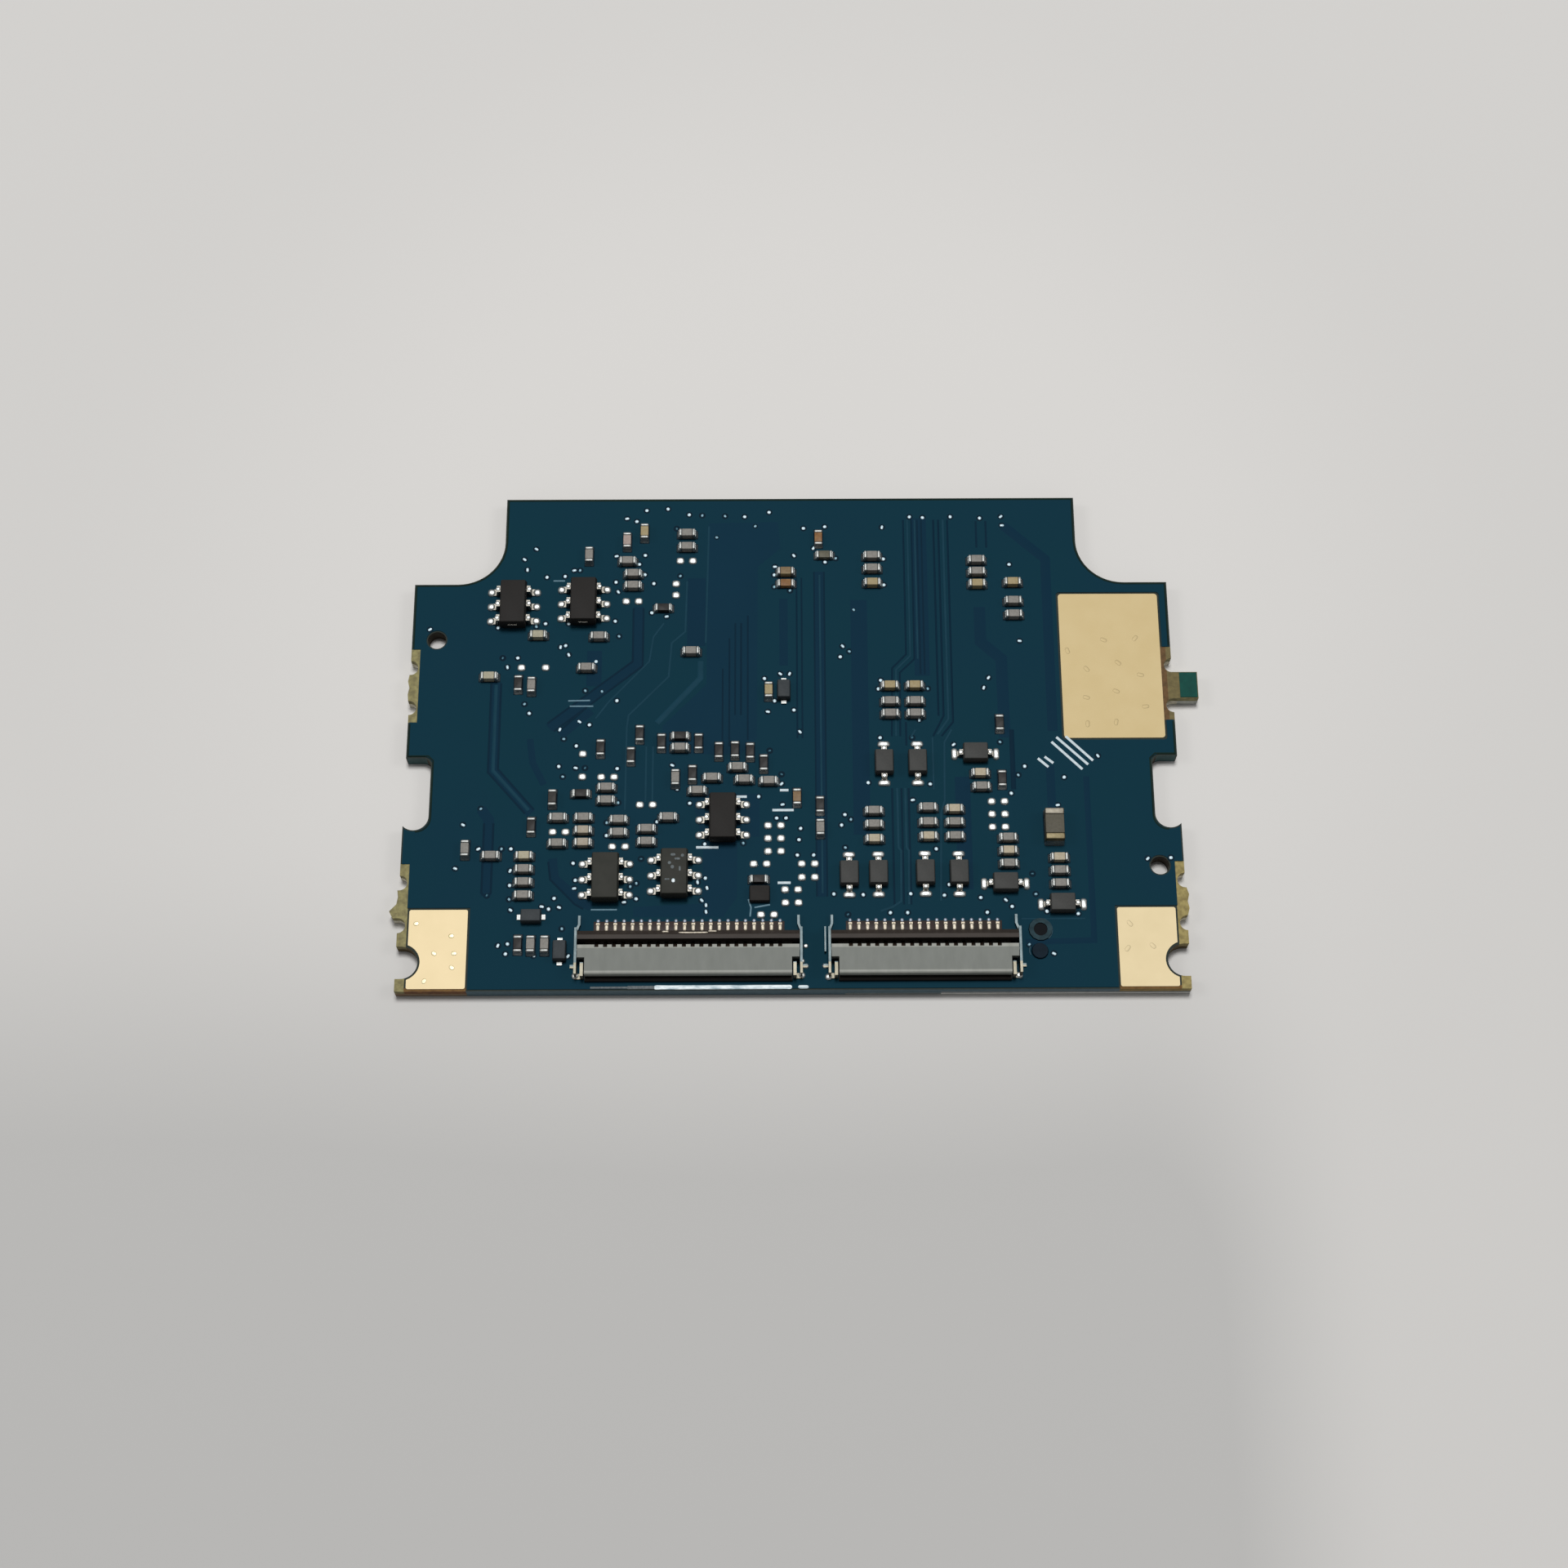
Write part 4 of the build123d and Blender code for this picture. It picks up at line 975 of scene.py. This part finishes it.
VIA_KINDS = (
    Via(0.22, 0.2, MASK_VIA_GLINT, 0.4),
    Via(0.26, 0.15, MASK_VIA_GLINT, 0.35),
    Via(0.19, 0.15, MASK_VIA_DIM_GLINT, 0.2),
    Via(0.18, 0.12, MASK_VIA_FAINT_GLINT, 0.05),
)


@dataclass
class Board:
    """The laminate, its mask, its gold pads and what is drawn under and on the mask."""

    region_height: float = 0.0018
    corridor_height: float = 0.003
    gap_height: float = 0.005
    trace_height: float = 0.009
    lift: float = 0.02  # each strip is this share of the first higher, so that none coincide
    rim_width: float = 0.09
    rim_inset: float = 0.12  # of the rim's middle from the board's edge
    rimless: tuple[float, float] = (16.5, 21.4)  # the side edges have no rim between these
    half_width: float = 22.8
    rear_half_width: float = 17.4
    shoulder_y: float = 25.65
    shoulder_radius: float = 2.8
    notch: tuple[float, float, float] = (9.8, 14.33, 1.5)  # front, rear and depth
    notch_round: float = 0.87
    notch_corner: float = 0.3
    ink_width: float = 0.16
    worn_ink_width: float = 0.1
    ink_height: float = 0.012
    halo: tuple[float, float] = (0.42, 0.008)  # width and height round a via
    via_height: float = 0.035
    arc_section: tuple[float, float] = (0.06, 0.03)  # width and height of a dab's wet rim
    bump: tuple[float, float, float] = (0.44, 0.24, 0.018)  # width, depth and height
    glint_bump: tuple[float, float, float] = (0.34, 0.26, 0.03)
    key_grid: tuple[int, int] = (3, 4)
    key_pitch: tuple[float, float] = (14.0, 7.2)
    key_radii: tuple[float, float, float] = (0.8, 1.35, 2.0)  # of the disc and of the ring
    dab_arcs: tuple[tuple[float, float, float, float, float], ...] = (  # x, y, radius, degrees
        (14.28, 3.53, 0.68, -50, 95), (14.1, 2.28, 0.5, 150, 210), (14.1, 2.28, 0.5, -60, -10),
    )
    pad_bumps: tuple[tuple[float, float], ...] = (
        (18.8, 21.8), (20.7, 21.9), (16.6, 21.1), (19.6, 20.3), (17.7, 19.9), (20.9, 19.5),
        (19.4, 18.45), (17.6, 18.05), (21.1, 17.45), (19.3, 16.45), (17.6, 16.35),
        (-21.7, 4.05), (-19.65, 3.3), (-20.6, 2.25), (-19.45, 2.25), (-19.55, 1.4), (-21.1, 0.6),
        (19.45, 3.9), (19.25, 2.4), (20.7, 2.55),
    )

    def build(self) -> None:
        """Dresses the board's nodes and adds its fine pieces."""
        for node, finish in (
            ("circuit_board", LAMINATE),
            ("solder_mask_top", MASK),
            ("tab_mask", TAB_MASK),
            ("ground_pad_rear_right", GOLD),
            ("ground_pad_front_left", GOLD),
            ("ground_pad_front_right", GOLD),
            ("sealing_dabs", RESIN),
        ):
            dress(node, finish)
        self.vias()
        self.drawn_under_mask()
        self.legend()
        self.bumps()
        self.resin_arcs()
        self.rim()
        self.key_contacts()

    def scattered(self, points: Points, seed: int) -> tuple[np.ndarray, np.random.Generator]:
        """Places on the board, each turned by an even chance between 0 and half a turn.

        Args:
            points: x and y of each.
            seed: Of the chance.

        Returns:
            Rows for Shape.at, and the chance for further draws.
        """
        chance = np.random.default_rng(seed)
        places = np.array([seat(x, y) for x, y in points])
        places[:, 3] = chance.uniform(0, math.pi, len(places))
        return places, chance

    def vias(self) -> None:
        """Each via is a dip of mask painted pale as a glint, in a dark ring of thick mask; no two
        alike.
        """
        places, chance = self.scattered(VIAS, seed=5)
        width, height = self.halo
        halo = mound(width, width, height, rings=2)
        make_piece("via_halos", halo.at(places), MASK_SUNK)
        shares = [kind.share for kind in VIA_KINDS]
        drawn = chance.choice(len(VIA_KINDS), len(places), p=shares)
        for number, kind in enumerate(VIA_KINDS):
            dip = mound(kind.width, kind.depth, self.via_height, rings=4)
            shape = dip.at(places[drawn == number])
            make_piece(f"via_glint_dips_{number + 1}", shape, kind.finish)

    def drawn(self, name: str, paths: list[Line], height: float, finish: Finish) -> None:
        """Draws flat strips on the board's top, each higher than the one before by the lift.

        Args:
            name: The piece's name.
            paths: A width and a path each.
            height: Of the first strip.
            finish: What they are finished with.
        """
        shapes = [
            strip(path, width, height * (1 + self.lift * number))
            for number, (width, path) in enumerate(paths)
        ]
        lay(name, shapes, finish)

    def drawn_under_mask(self) -> None:
        """Copper and its gaps show through the mask in a few close shades."""
        regions = [plate(region, self.region_height) for region in NAVY_REGIONS]
        lay("copper_free_regions", regions, MASK_BARE)
        self.drawn("corridors", CORRIDORS, self.corridor_height, MASK_CORRIDOR)
        self.drawn("gaps", GAPS, self.gap_height, MASK_DEEP)
        self.drawn("traces", LIGHT_TRACES, self.trace_height, MASK_TRACE)

    def legend(self) -> None:
        """Bars of ink, and worn bars."""
        for name, bars, width, finish in (
            ("legend_bars", INK_BARS, self.ink_width, INK),
            ("worn_legend_bars", WORN_BARS, self.worn_ink_width, DIM_INK),
        ):
            self.drawn(name, [(width, bar) for bar in bars], self.ink_height, finish)

    def bumps(self) -> None:
        """Plated vias show in the gold pads as low domes, painted bright as glints on the left pad.
        """
        places, _ = self.scattered(self.pad_bumps, seed=9)
        at_left = places[:, 0] < 0
        for name, size, chosen, finish in (
            ("glint_pad_bumps", self.glint_bump, at_left, GOLD_GLINT),
            ("pad_bumps", self.bump, ~at_left, GOLD),
        ):
            make_piece(name, mound(*size).at(places[chosen]), finish)

    def resin_arcs(self) -> None:
        """Where each dab of resin meets the mask its wet rim catches the light."""
        arcs = [strip(arc(*row, steps=14), *self.arc_section) for row in self.dab_arcs]
        lay("resin_arcs", arcs, RESIN_RIM)

    def rim(self) -> None:
        """The mask thins and darkens along the rear edge, the shoulders and the side notches."""
        inset, bend, hook = self.rim_inset, self.shoulder_radius, self.notch_round
        half, shoulder, rear = self.half_width - inset, self.shoulder_y - inset, BOARD_DEPTH - inset
        notch_end, bare_end = self.rimless
        middle = self.rear_half_width + bend, self.shoulder_y + bend
        back = [
            (0.0, rear),
            (self.rear_half_width - inset, rear),
            *arc(*middle, bend + inset, 180, 270, steps=9),
            (half, shoulder),
            (half, bare_end),
        ]
        notch_front, notch_rear, notch_depth = self.notch
        low, high, wall = notch_front - inset, notch_rear + inset, half - notch_depth
        notch = [
            (half, notch_end),
            (half, high),
            (wall + self.notch_corner, high),
            (wall, high - self.notch_corner),
            *arc(wall + hook, low + hook, hook, 180, 270, steps=7),
        ]
        paths = [
            (self.rim_width, [(side * x, y) for x, y in path])
            for side in (-1, 1)
            for path in (back, notch)
        ]
        self.drawn("mask_rim", paths, self.trace_height, MASK_RIM)

    def key_contacts(self) -> None:
        """Round key contacts on the underside, in a grid about the board's middle."""
        low, high = box_of("key_contact_rings")
        thick = high[2] - low[2]
        steps = [np.arange(count) - (count - 1) / 2 for count in self.key_grid]
        across, along = (step * pitch for step, pitch in zip(steps, self.key_pitch))
        places = [(x, y, low[2], 0.0) for y in along for x in across]
        centre, inner, outer = self.key_radii
        disc = plate(arc(0, 0, centre, 0, 360, ROUND_SIDES + 1)[:-1], thick)
        ring = turned([(inner, 0), (inner, thick), (outer, thick), (outer, 0)])
        for node, shape in (("key_contact_centres", disc), ("key_contact_rings", ring)):
            piece = make_piece(f"round_{node}", shape.at(places), GOLD)
            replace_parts(piece, node)


# --- chips ---------------------------------------------------------------------------------
@dataclass
class Chips:
    """Chips with rounded metal ends, and the solder drawn up their ends."""

    box_corners: int = 24
    end_edge: float = 0.07
    body_edge: float = 0.03
    end_trim: float = 0.05  # the plating is worn this much shorter than the model's ends
    opening: tuple[float, float] = (0.8, 0.14)  # how much larger the opening in the mask is
    opening_height: float = 0.006
    fillet_reach: float = 0.13
    fillet_width: float = 0.04  # how much wider than the chip
    fillet_climb: float = 0.6  # of the end's height
    land_height: float = 0.13

    def boxes(self, node: str) -> tuple[np.ndarray, np.ndarray]:
        """Centre and size of each box in a node, as arrays (boxes, 3)."""
        points = solids_of(node, self.box_corners)
        low, high = points.min(1), points.max(1)
        return (low + high) / 2, high - low

    def aligned(self, node: str, away: np.ndarray) -> tuple[np.ndarray, np.ndarray]:
        """Where each box stands, and its size along and across a direction.

        Args:
            node: The node of boxes.
            away: A unit direction for each box, rows of x and y.

        Returns:
            Rows for Shape.at, and the size along, across and up of the first box.
        """
        centre, size = self.boxes(node)
        along = np.abs(away * size[:, :2]).sum(1)
        across = np.abs(away[:, ::-1] * size[:, :2]).sum(1)
        places = np.column_stack([
            centre[:, :2], np.full(len(centre), BOARD_TOP), np.arctan2(away[:, 1], away[:, 0])
        ])
        return places, np.array([along[0], across[0], size[0, 2]])

    def build_kind(
        self, name: str, bodies: str, finish: Finish, end_finish: Finish
    ) -> None:
        """Builds one kind of chip: each end points away from its body's middle.

        Args:
            name: The kind's name.
            bodies: The node of its bodies.
            finish: The bodies' finish.
            end_finish: The ends' finish.
        """
        ends = f"{name}_ends"
        trim = self.end_trim
        body_centre = np.repeat(self.boxes(bodies)[0][:, :2], 2, axis=0)
        away = self.boxes(ends)[0][:, :2] - body_centre
        away /= np.linalg.norm(away, axis=1, keepdims=True)
        places, (along, across, up) = self.aligned(bodies, away[::2])
        length, width = np.array([along, across]) + self.opening
        opening = rounded_block(length, width, self.opening_height, self.opening_height / 2)
        make_piece(f"{name}_openings", opening.at(places), MASK_SUNK)
        block = rounded_block(along + 2 * trim, across, up, self.body_edge)
        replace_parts(make_piece(f"{name}_rounded_bodies", block.at(places), finish), bodies)
        places, (along, across, up) = self.aligned(ends, away)
        places[:, :2] += away * trim / 2
        block = rounded_block(along - trim, across, up, self.end_edge, steps=4)
        piece = make_piece(f"{name}_rounded_ends", block.at(places), end_finish)
        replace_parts(piece, ends)
        places[:, :2] += away * (along - trim) / 2
        fillet = meniscus(across + self.fillet_width, self.fillet_reach, self.fillet_climb * up)
        make_piece(f"{name}_solder", fillet.at(places), FILLET)

    def build(self) -> None:
        """Builds every kind of chip and the bare lands."""
        for name, bodies, finish, slot, end_finish in (
            ("tan_capacitor", "tan_capacitor_bodies", TAN_CERAMIC, Slot.TAN, TIN),
            ("grey_capacitor", "grey_capacitor_bodies", GREY_CERAMIC, Slot.GREY, TIN),
            ("resistor", "resistor_bodies", RESISTOR_GLASS, Slot.RESISTOR, TIN),
            ("large_capacitor", "large_capacitor_body", BROWN_CERAMIC, Slot.BROWN, LARGE_END),
        ):
            self.build_kind(name, bodies, finish, end_finish)
        self.lands()

    def lands(self) -> None:
        """Domes of solder on the bare lands."""
        centre, size = self.boxes("bare_solder_lands")
        places = [(x, y, BOARD_TOP, 0.0) for x, y, _ in centre]
        width, depth, _ = size[0]
        dome = mound(width, depth, self.land_height, round_share=0.35, fullness=0.45)
        piece = make_piece("solder_land_domes", dome.at(places), SOLDER)
        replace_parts(piece, "bare_solder_lands")


# --- moulded packages ----------------------------------------------------------------------
@dataclass
class Packages:
    """Moulded packages with softened edges, their leads and the solder on their feet."""

    lead_corners: int = 48
    sole: float = 0.02  # a lead's points this near the board are its foot's
    edge: float = 0.06
    corner: float = 0.05
    draft: float = math.radians(8)
    flash: float = 0.012  # half the height of the parting line's band
    ic_foot: tuple[float, float, float] = (0.48, 0.5, 0.19)  # a drop's width, length and height
    ic_shoulder: float = 0.48  # back from a lead's tip
    diode_foot: tuple[float, float, float] = (0.76, 0.4, 0.18)
    diode_shoulder: float = 0.36
    tip_cover: float = 0.2  # how far a drop runs out past a lead's tip
    glint_size: tuple[float, float, float] = (0.28, 0.28, 0.045)
    glint_sink: float = 0.01
    tie_bar: tuple[float, float, float] = (0.55, 0.05, 0.06)
    tie_rise: float = 0.52  # above the package's foot
    tie_edge: float = 0.01  # its corner radius, and how deep in the face its middle lies
    residue_rise: float = 0.02
    residue_sink: float = 0.004
    spots: tuple[Drop, ...] = ((-6.87, 6.27, 0.2, 0.26),)
    films: tuple[Drop, ...] = (
        (-6.9, 7.85, 0.3, 0.16), (-6.65, 7.6, 0.34, 0.14), (-6.35, 7.8, 0.2, 0.2),
        (-7.1, 7.35, 0.22, 0.2), (-6.93, 7.1, 0.2, 0.24), (-7.23, 6.35, 0.3, 0.1),
        (-6.5, 7.0, 0.12, 0.3),
    )

    def moulded(self, node: str, finish: Finish) -> None:
        """Puts a moulding in a package's place: it narrows by the draft from half its height.

        Args:
            node: The package's node.
            finish: The moulding's finish.
        """
        low, high = box_of(node)
        width, depth, height = high - low
        waist, edge = height / 2, self.edge  # the top edge is drawn as two chords of a round
        narrow = 2 * math.tan(self.draft) * waist
        shrink = np.array([narrow, 0, 0, narrow, narrow + 0.6 * edge, narrow + 2 * edge])
        level = np.array([
            0, waist - self.flash, waist + self.flash, height - edge, height - 0.3 * edge, height
        ])
        block = stacked(width - shrink, depth - shrink, level, self.corner)
        x, y = (low[:2] + high[:2]) / 2
        name = node.replace("package", "moulding")
        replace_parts(make_piece(name, block.at([(x, y, low[2], 0.0)]), finish), node)

    def leads(self, node: str) -> tuple[np.ndarray, np.ndarray, np.ndarray]:
        """Reads the leads of a node: each points from its middle to its foot.

        Args:
            node: The node of leads.

        Returns:
            The tip of each lead (x, y), the direction it points away from its package, and its
            highest point.
        """
        points = solids_of(node, self.lead_corners)
        low, high = points.min(1), points.max(1)
        on_board = (points[:, :, 2] < BOARD_TOP + self.sole)[..., None]
        foot = (points * on_board).sum(1) / on_board.sum(1)
        away = (foot - (low + high) / 2)[:, :2]
        along_x = np.abs(away[:, :1]) > np.abs(away[:, 1:])
        away = np.sign(away) * np.hstack([along_x, ~along_x])
        tip = ((low + high)[:, :2] + away * (high - low)[:, :2]) / 2
        return tip, away, high[:, 2]

    def lead_solder(self, name: str, foot: tuple[float, float, float], shoulder: float) -> None:
        """Solder over each foot, and a painted glint at each lead's shoulder: a drop of bright
        solder.

        Args:
            name: What the leads' node and the new pieces' names start with.
            foot: Width, length and height of the drop over a foot.
            shoulder: How far the shoulder lies back from the tip.
        """
        tip, away, top = self.leads(f"{name}_leads")
        turn = np.arctan2(away[:, 1], away[:, 0])
        wide, long, high = foot
        centre = tip - away * (0.5 * long - self.tip_cover)
        places = np.column_stack([centre, np.full(len(tip), BOARD_TOP), turn])
        drop = mound(long, wide, high, 0.4, fullness=0.5)
        make_piece(f"{name}_solder", drop.at(places), SOLDER)
        # A bright drop on each shoulder paints its glint.
        places = np.column_stack([tip - away * shoulder, top - self.glint_sink, turn])
        make_piece(f"{name}_shoulder_glints", mound(*self.glint_size).at(places), SOLDER)

    def tie_bars(self) -> None:
        """The cut ends of the lead frame show in the front faces of the two rear packages."""
        places = []
        width, depth, height = self.tie_bar
        for number in (1, 2):
            low, high = box_of(f"ic_{number}_package")
            middle = (low[0] + high[0]) / 2
            places.append((middle, low[1] + self.tie_edge, low[2] + self.tie_rise, 0.0))
        bar = stacked(width, depth, [0, height], self.tie_edge)
        make_piece("tie_bars", bar.at(places), LEAD_TIN)

    def residue(self) -> None:
        """Dried flux on the top of package five."""
        base = box_of("ic_5_package")[1][2] - BOARD_TOP - self.residue_sink
        for name, rows, finish in (
            ("residue_spot", self.spots, RESIDUE_AND_GLINT),
            ("residue_film", self.films, DULL_RESIDUE_AND_GLINT),
        ):
            make_piece(name, drops(rows, self.residue_rise, base), finish)

    def build(self) -> None:
        """Builds every package and dresses every lead."""
        for number in range(1, 6):
            finish = EPOXY if number in (1, 2, 4) else EPOXY_PALE
            self.moulded(f"ic_{number}_package", finish)
            dress(f"ic_{number}_leads", LEAD_TIN)
            self.lead_solder(f"ic_{number}", self.ic_foot, self.ic_shoulder)
        self.tie_bars()
        self.residue()
        for number in range(1, 10):
            self.moulded(f"diode_{number}_package", DIODE_EPOXY)
        for group in ("rear_diode", "front_diode", "right_diode"):
            dress(f"{group}_leads", LEAD_TIN)
            self.lead_solder(group, self.diode_foot, self.diode_shoulder)
        for number in range(1, 4):
            self.moulded(f"small_diode_{number}_package", SMALL_EPOXY)
        dress("small_diode_leads", TIN)
        self.moulded("leadless_package", EPOXY)


# --- flat-cable sockets --------------------------------------------------------------------
@dataclass
class Socket:
    """One flip-lock socket: finishes for its pieces, and the solder and flux round it."""

    name: str
    contact_corners: int = 60
    tail_middle: float = 3.7
    tail_rise: float = 0.1
    tail_drop: tuple[float, float, float] = (0.23, 0.46, 0.09)  # width, depth and height
    toe_middle: float = 4.15
    toe_drop: tuple[float, float, float] = (0.22, 0.26, 0.06)
    flux_front: float = 3.3
    flux_rear: float = 4.12
    flux_margin: float = 0.25  # beyond the outermost contacts
    flux_height: float = 0.015
    flux_edge: float = 0.01
    drop_height: float = 0.05
    latch_top: float = 0.72  # above the board, where streaks lie
    prong_section: tuple[float, float] = (0.1, 0.3)
    blobs: tuple[tuple[float, float, float], ...] = ()  # x, y and size
    # Beads and films along the front are painted glints on a ridge, white and faint.
    glint_beads: tuple[Drop, ...] = ()
    films: tuple[Drop, ...] = ()
    # Streaks are painted highlights: cream drops along the lit crest of the housing's rear wall.
    streaks: tuple[Drop, ...] = ()
    prongs: tuple[tuple[float, float, float], ...] = ()  # x, and y of its ends

    def build(self) -> None:
        """Dresses the socket and solders it down."""
        for piece, finish in (
            ("housing", HOUSING),
            ("latch", LATCH),
            ("contacts", BRONZE),
            ("left_clip", CLIP_TIN),
            ("right_clip", CLIP_TIN),
        ):
            dress(f"{self.name}_{piece}", finish)
        self.tails()
        solder = [
            mound(size, 0.9 * size, 0.35 * size, 0.45, fullness=0.5).at([seat(x, y)])
            for x, y, size in self.blobs
        ]
        make_piece(f"{self.name}_clip_solder", joined(solder), SOLDER)
        for kind, rows, base, finish in (
            ("glint_beads", self.glint_beads, 0.0, RESIDUE_AND_GLINT),
            ("films", self.films, 0.0, DULL_RESIDUE_AND_GLINT),
            # The streaks paint the highlight on the housing's crest.
            ("streaks", self.streaks, self.latch_top, TAIL_CREAM),
        ):
            if rows:
                shape = drops(rows, self.drop_height, base)
                make_piece(f"{self.name}_{kind}", shape, finish)
        if self.prongs:
            bars = [strip([(x, y), (x, end)], *self.prong_section) for x, y, end in self.prongs]
            lay(f"{self.name}_prongs", bars, CLIP_TIN)

    def tails(self) -> None:
        """A drop of solder on each contact's tail, a thinner one at its toe, and flux between."""
        x = solids_of(f"{self.name}_contacts", self.contact_corners)[:, :, 0]
        middles = (x.min(1) + x.max(1)) / 2
        tail, toe = mound(*self.tail_drop, fullness=0.35), mound(*self.toe_drop)
        for part, y, rise, drop, finish in (
            ("tail", self.tail_middle, self.tail_rise, tail, TAIL_CREAM),
            ("toe", self.toe_middle, 0.0, toe, TAIL_BLUE),
        ):
            shape = drop.at([seat(middle, y, rise) for middle in middles])
            make_piece(f"{self.name}_{part}_solder", shape, finish)
        left, right = middles.min(), middles.max()
        width, depth = right - left + 2 * self.flux_margin, self.flux_rear - self.flux_front
        film = rounded_block(width, depth, self.flux_height, self.flux_edge)
        place = seat((left + right) / 2, (self.flux_front + self.flux_rear) / 2)
        make_piece(f"{self.name}_flux", film.at([place]), FLUX)


# --- the studio ----------------------------------------------------------------------------
@dataclass(frozen=True)
class Lamp:
    """A square or oblong soft light that faces the board."""

    name: str
    place: tuple[float, float, float]
    size: tuple[float, float]
    watts: float

    def build(self) -> None:
        """Adds the lamp: it leans by the arc tangent of its distance aside over its height."""
        light = bpy.data.lights.new(self.name, "AREA")
        light.shape = "RECTANGLE"
        light.size, light.size_y = (length * MM for length in self.size)
        light.energy = self.watts
        lamp = bpy.data.objects.new(self.name, light)
        bpy.context.scene.collection.objects.link(lamp)
        x, y, z = self.place
        lamp.location = (x * MM, y * MM, z * MM)
        lamp.rotation_euler = (math.atan2(math.hypot(x, y), z), 0, math.atan2(y, x) + QUARTER)


@dataclass(frozen=True)
class Studio:
    """Camera, lamps, world and table top."""

    aim: tuple[float, float, float] = (-0.46, -3.11, 1.0)
    tilt: float = math.radians(21.0)
    turn: float = math.radians(-0.24)
    distance: float = 150.34
    lens: float = 58.63
    sensor: float = 36.0
    clip_start: float = 0.005
    sky: str = "#E9E9EA"
    sky_strength: float = 0.24
    table_half: float = 1500.0
    lamps: tuple[Lamp, ...] = (
        Lamp("key lamp", (0, 170, 650), (190, 190), 3.75),
        Lamp("left lamp", (-500, 60, 500), (200, 200), 0.42),
        Lamp("right lamp", (500, 60, 500), (200, 200), 0.42),
    )

    def build(self) -> None:
        """Sets the scene."""
        scene = bpy.context.scene
        scene.view_settings.view_transform = "Standard"
        self.camera(scene)
        for lamp in self.lamps:
            lamp.build()
        world = bpy.data.worlds.new("studio")
        world.use_nodes = True
        colour, strength = world.node_tree.nodes["Background"].inputs[:2]
        colour.default_value = linear(self.sky)
        strength.default_value = self.sky_strength
        scene.world = world
        self.table()

    def camera(self, scene: bpy.types.Scene) -> None:
        """Looks down from in front: the camera stands back from its aim along its own line.

        Args:
            scene: What it is the camera of.
        """
        lens = bpy.data.cameras.new("camera")
        lens.lens, lens.sensor_width, lens.clip_start = self.lens, self.sensor, self.clip_start
        camera = bpy.data.objects.new("camera", lens)
        scene.collection.objects.link(camera)
        level = math.sin(self.tilt)
        ahead = (-math.sin(self.turn) * level, math.cos(self.turn) * level, -math.cos(self.tilt))
        camera.location = (np.array(self.aim) - np.array(ahead) * self.distance) * MM
        camera.rotation_euler = (self.tilt, 0, self.turn)
        scene.camera = camera

    def table(self) -> None:
        """A pale table top under the board, with a painted shadow."""
        half = self.table_half * MM
        corners = [(-half, -half, 0), (half, -half, 0), (half, half, 0), (-half, half, 0)]
        mesh = bpy.data.meshes.new("table_top")
        mesh.from_pydata(corners, [], [(0, 1, 2, 3)])
        mesh.materials.append(material_of(TABLE))
        table = bpy.data.objects.new("table_top", mesh)
        bpy.context.scene.collection.objects.link(table)


SOCKETS = (
    Socket(
        "left_socket",
        blobs=(
            (-12.45, 0.85, 0.46), (0.75, 2.6, 0.3), (0.52, 1.7, 0.34), (0.75, 1.4, 0.34),
            (0.5, 0.85, 0.44),
        ),
        # A painted glint runs along the front ridge: a white bead, with faint films to its left.
        glint_beads=((-4.0, 0.17, 7.9, 0.25), (0.6, 0.17, 0.6, 0.2)),
        films=((-8.7, 0.17, 1.6, 0.2), (-10.5, 0.17, 2.2, 0.12)),
        streaks=((-5.7, 3.2, 1.7, 0.14), (-7.3, 3.28, 0.4, 0.12), (-4.6, 3.3, 0.5, 0.12)),
    ),
    Socket(
        "right_socket",
        blobs=((1.85, 1.4, 0.34), (2.05, 0.75, 0.44), (12.95, 0.8, 0.44)),
        prongs=((1.87, 2.2, 3.7),),
    ),
)


def main() -> None:
    """Builds the scene piece by piece."""
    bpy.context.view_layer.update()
    Studio().build()
    Board().build()
    Chips().build()
    Packages().build()
    for socket in SOCKETS:
        socket.build()


if __name__ == "__main__":
    logging.basicConfig(level=logging.INFO, format="%(message)s")
    main()
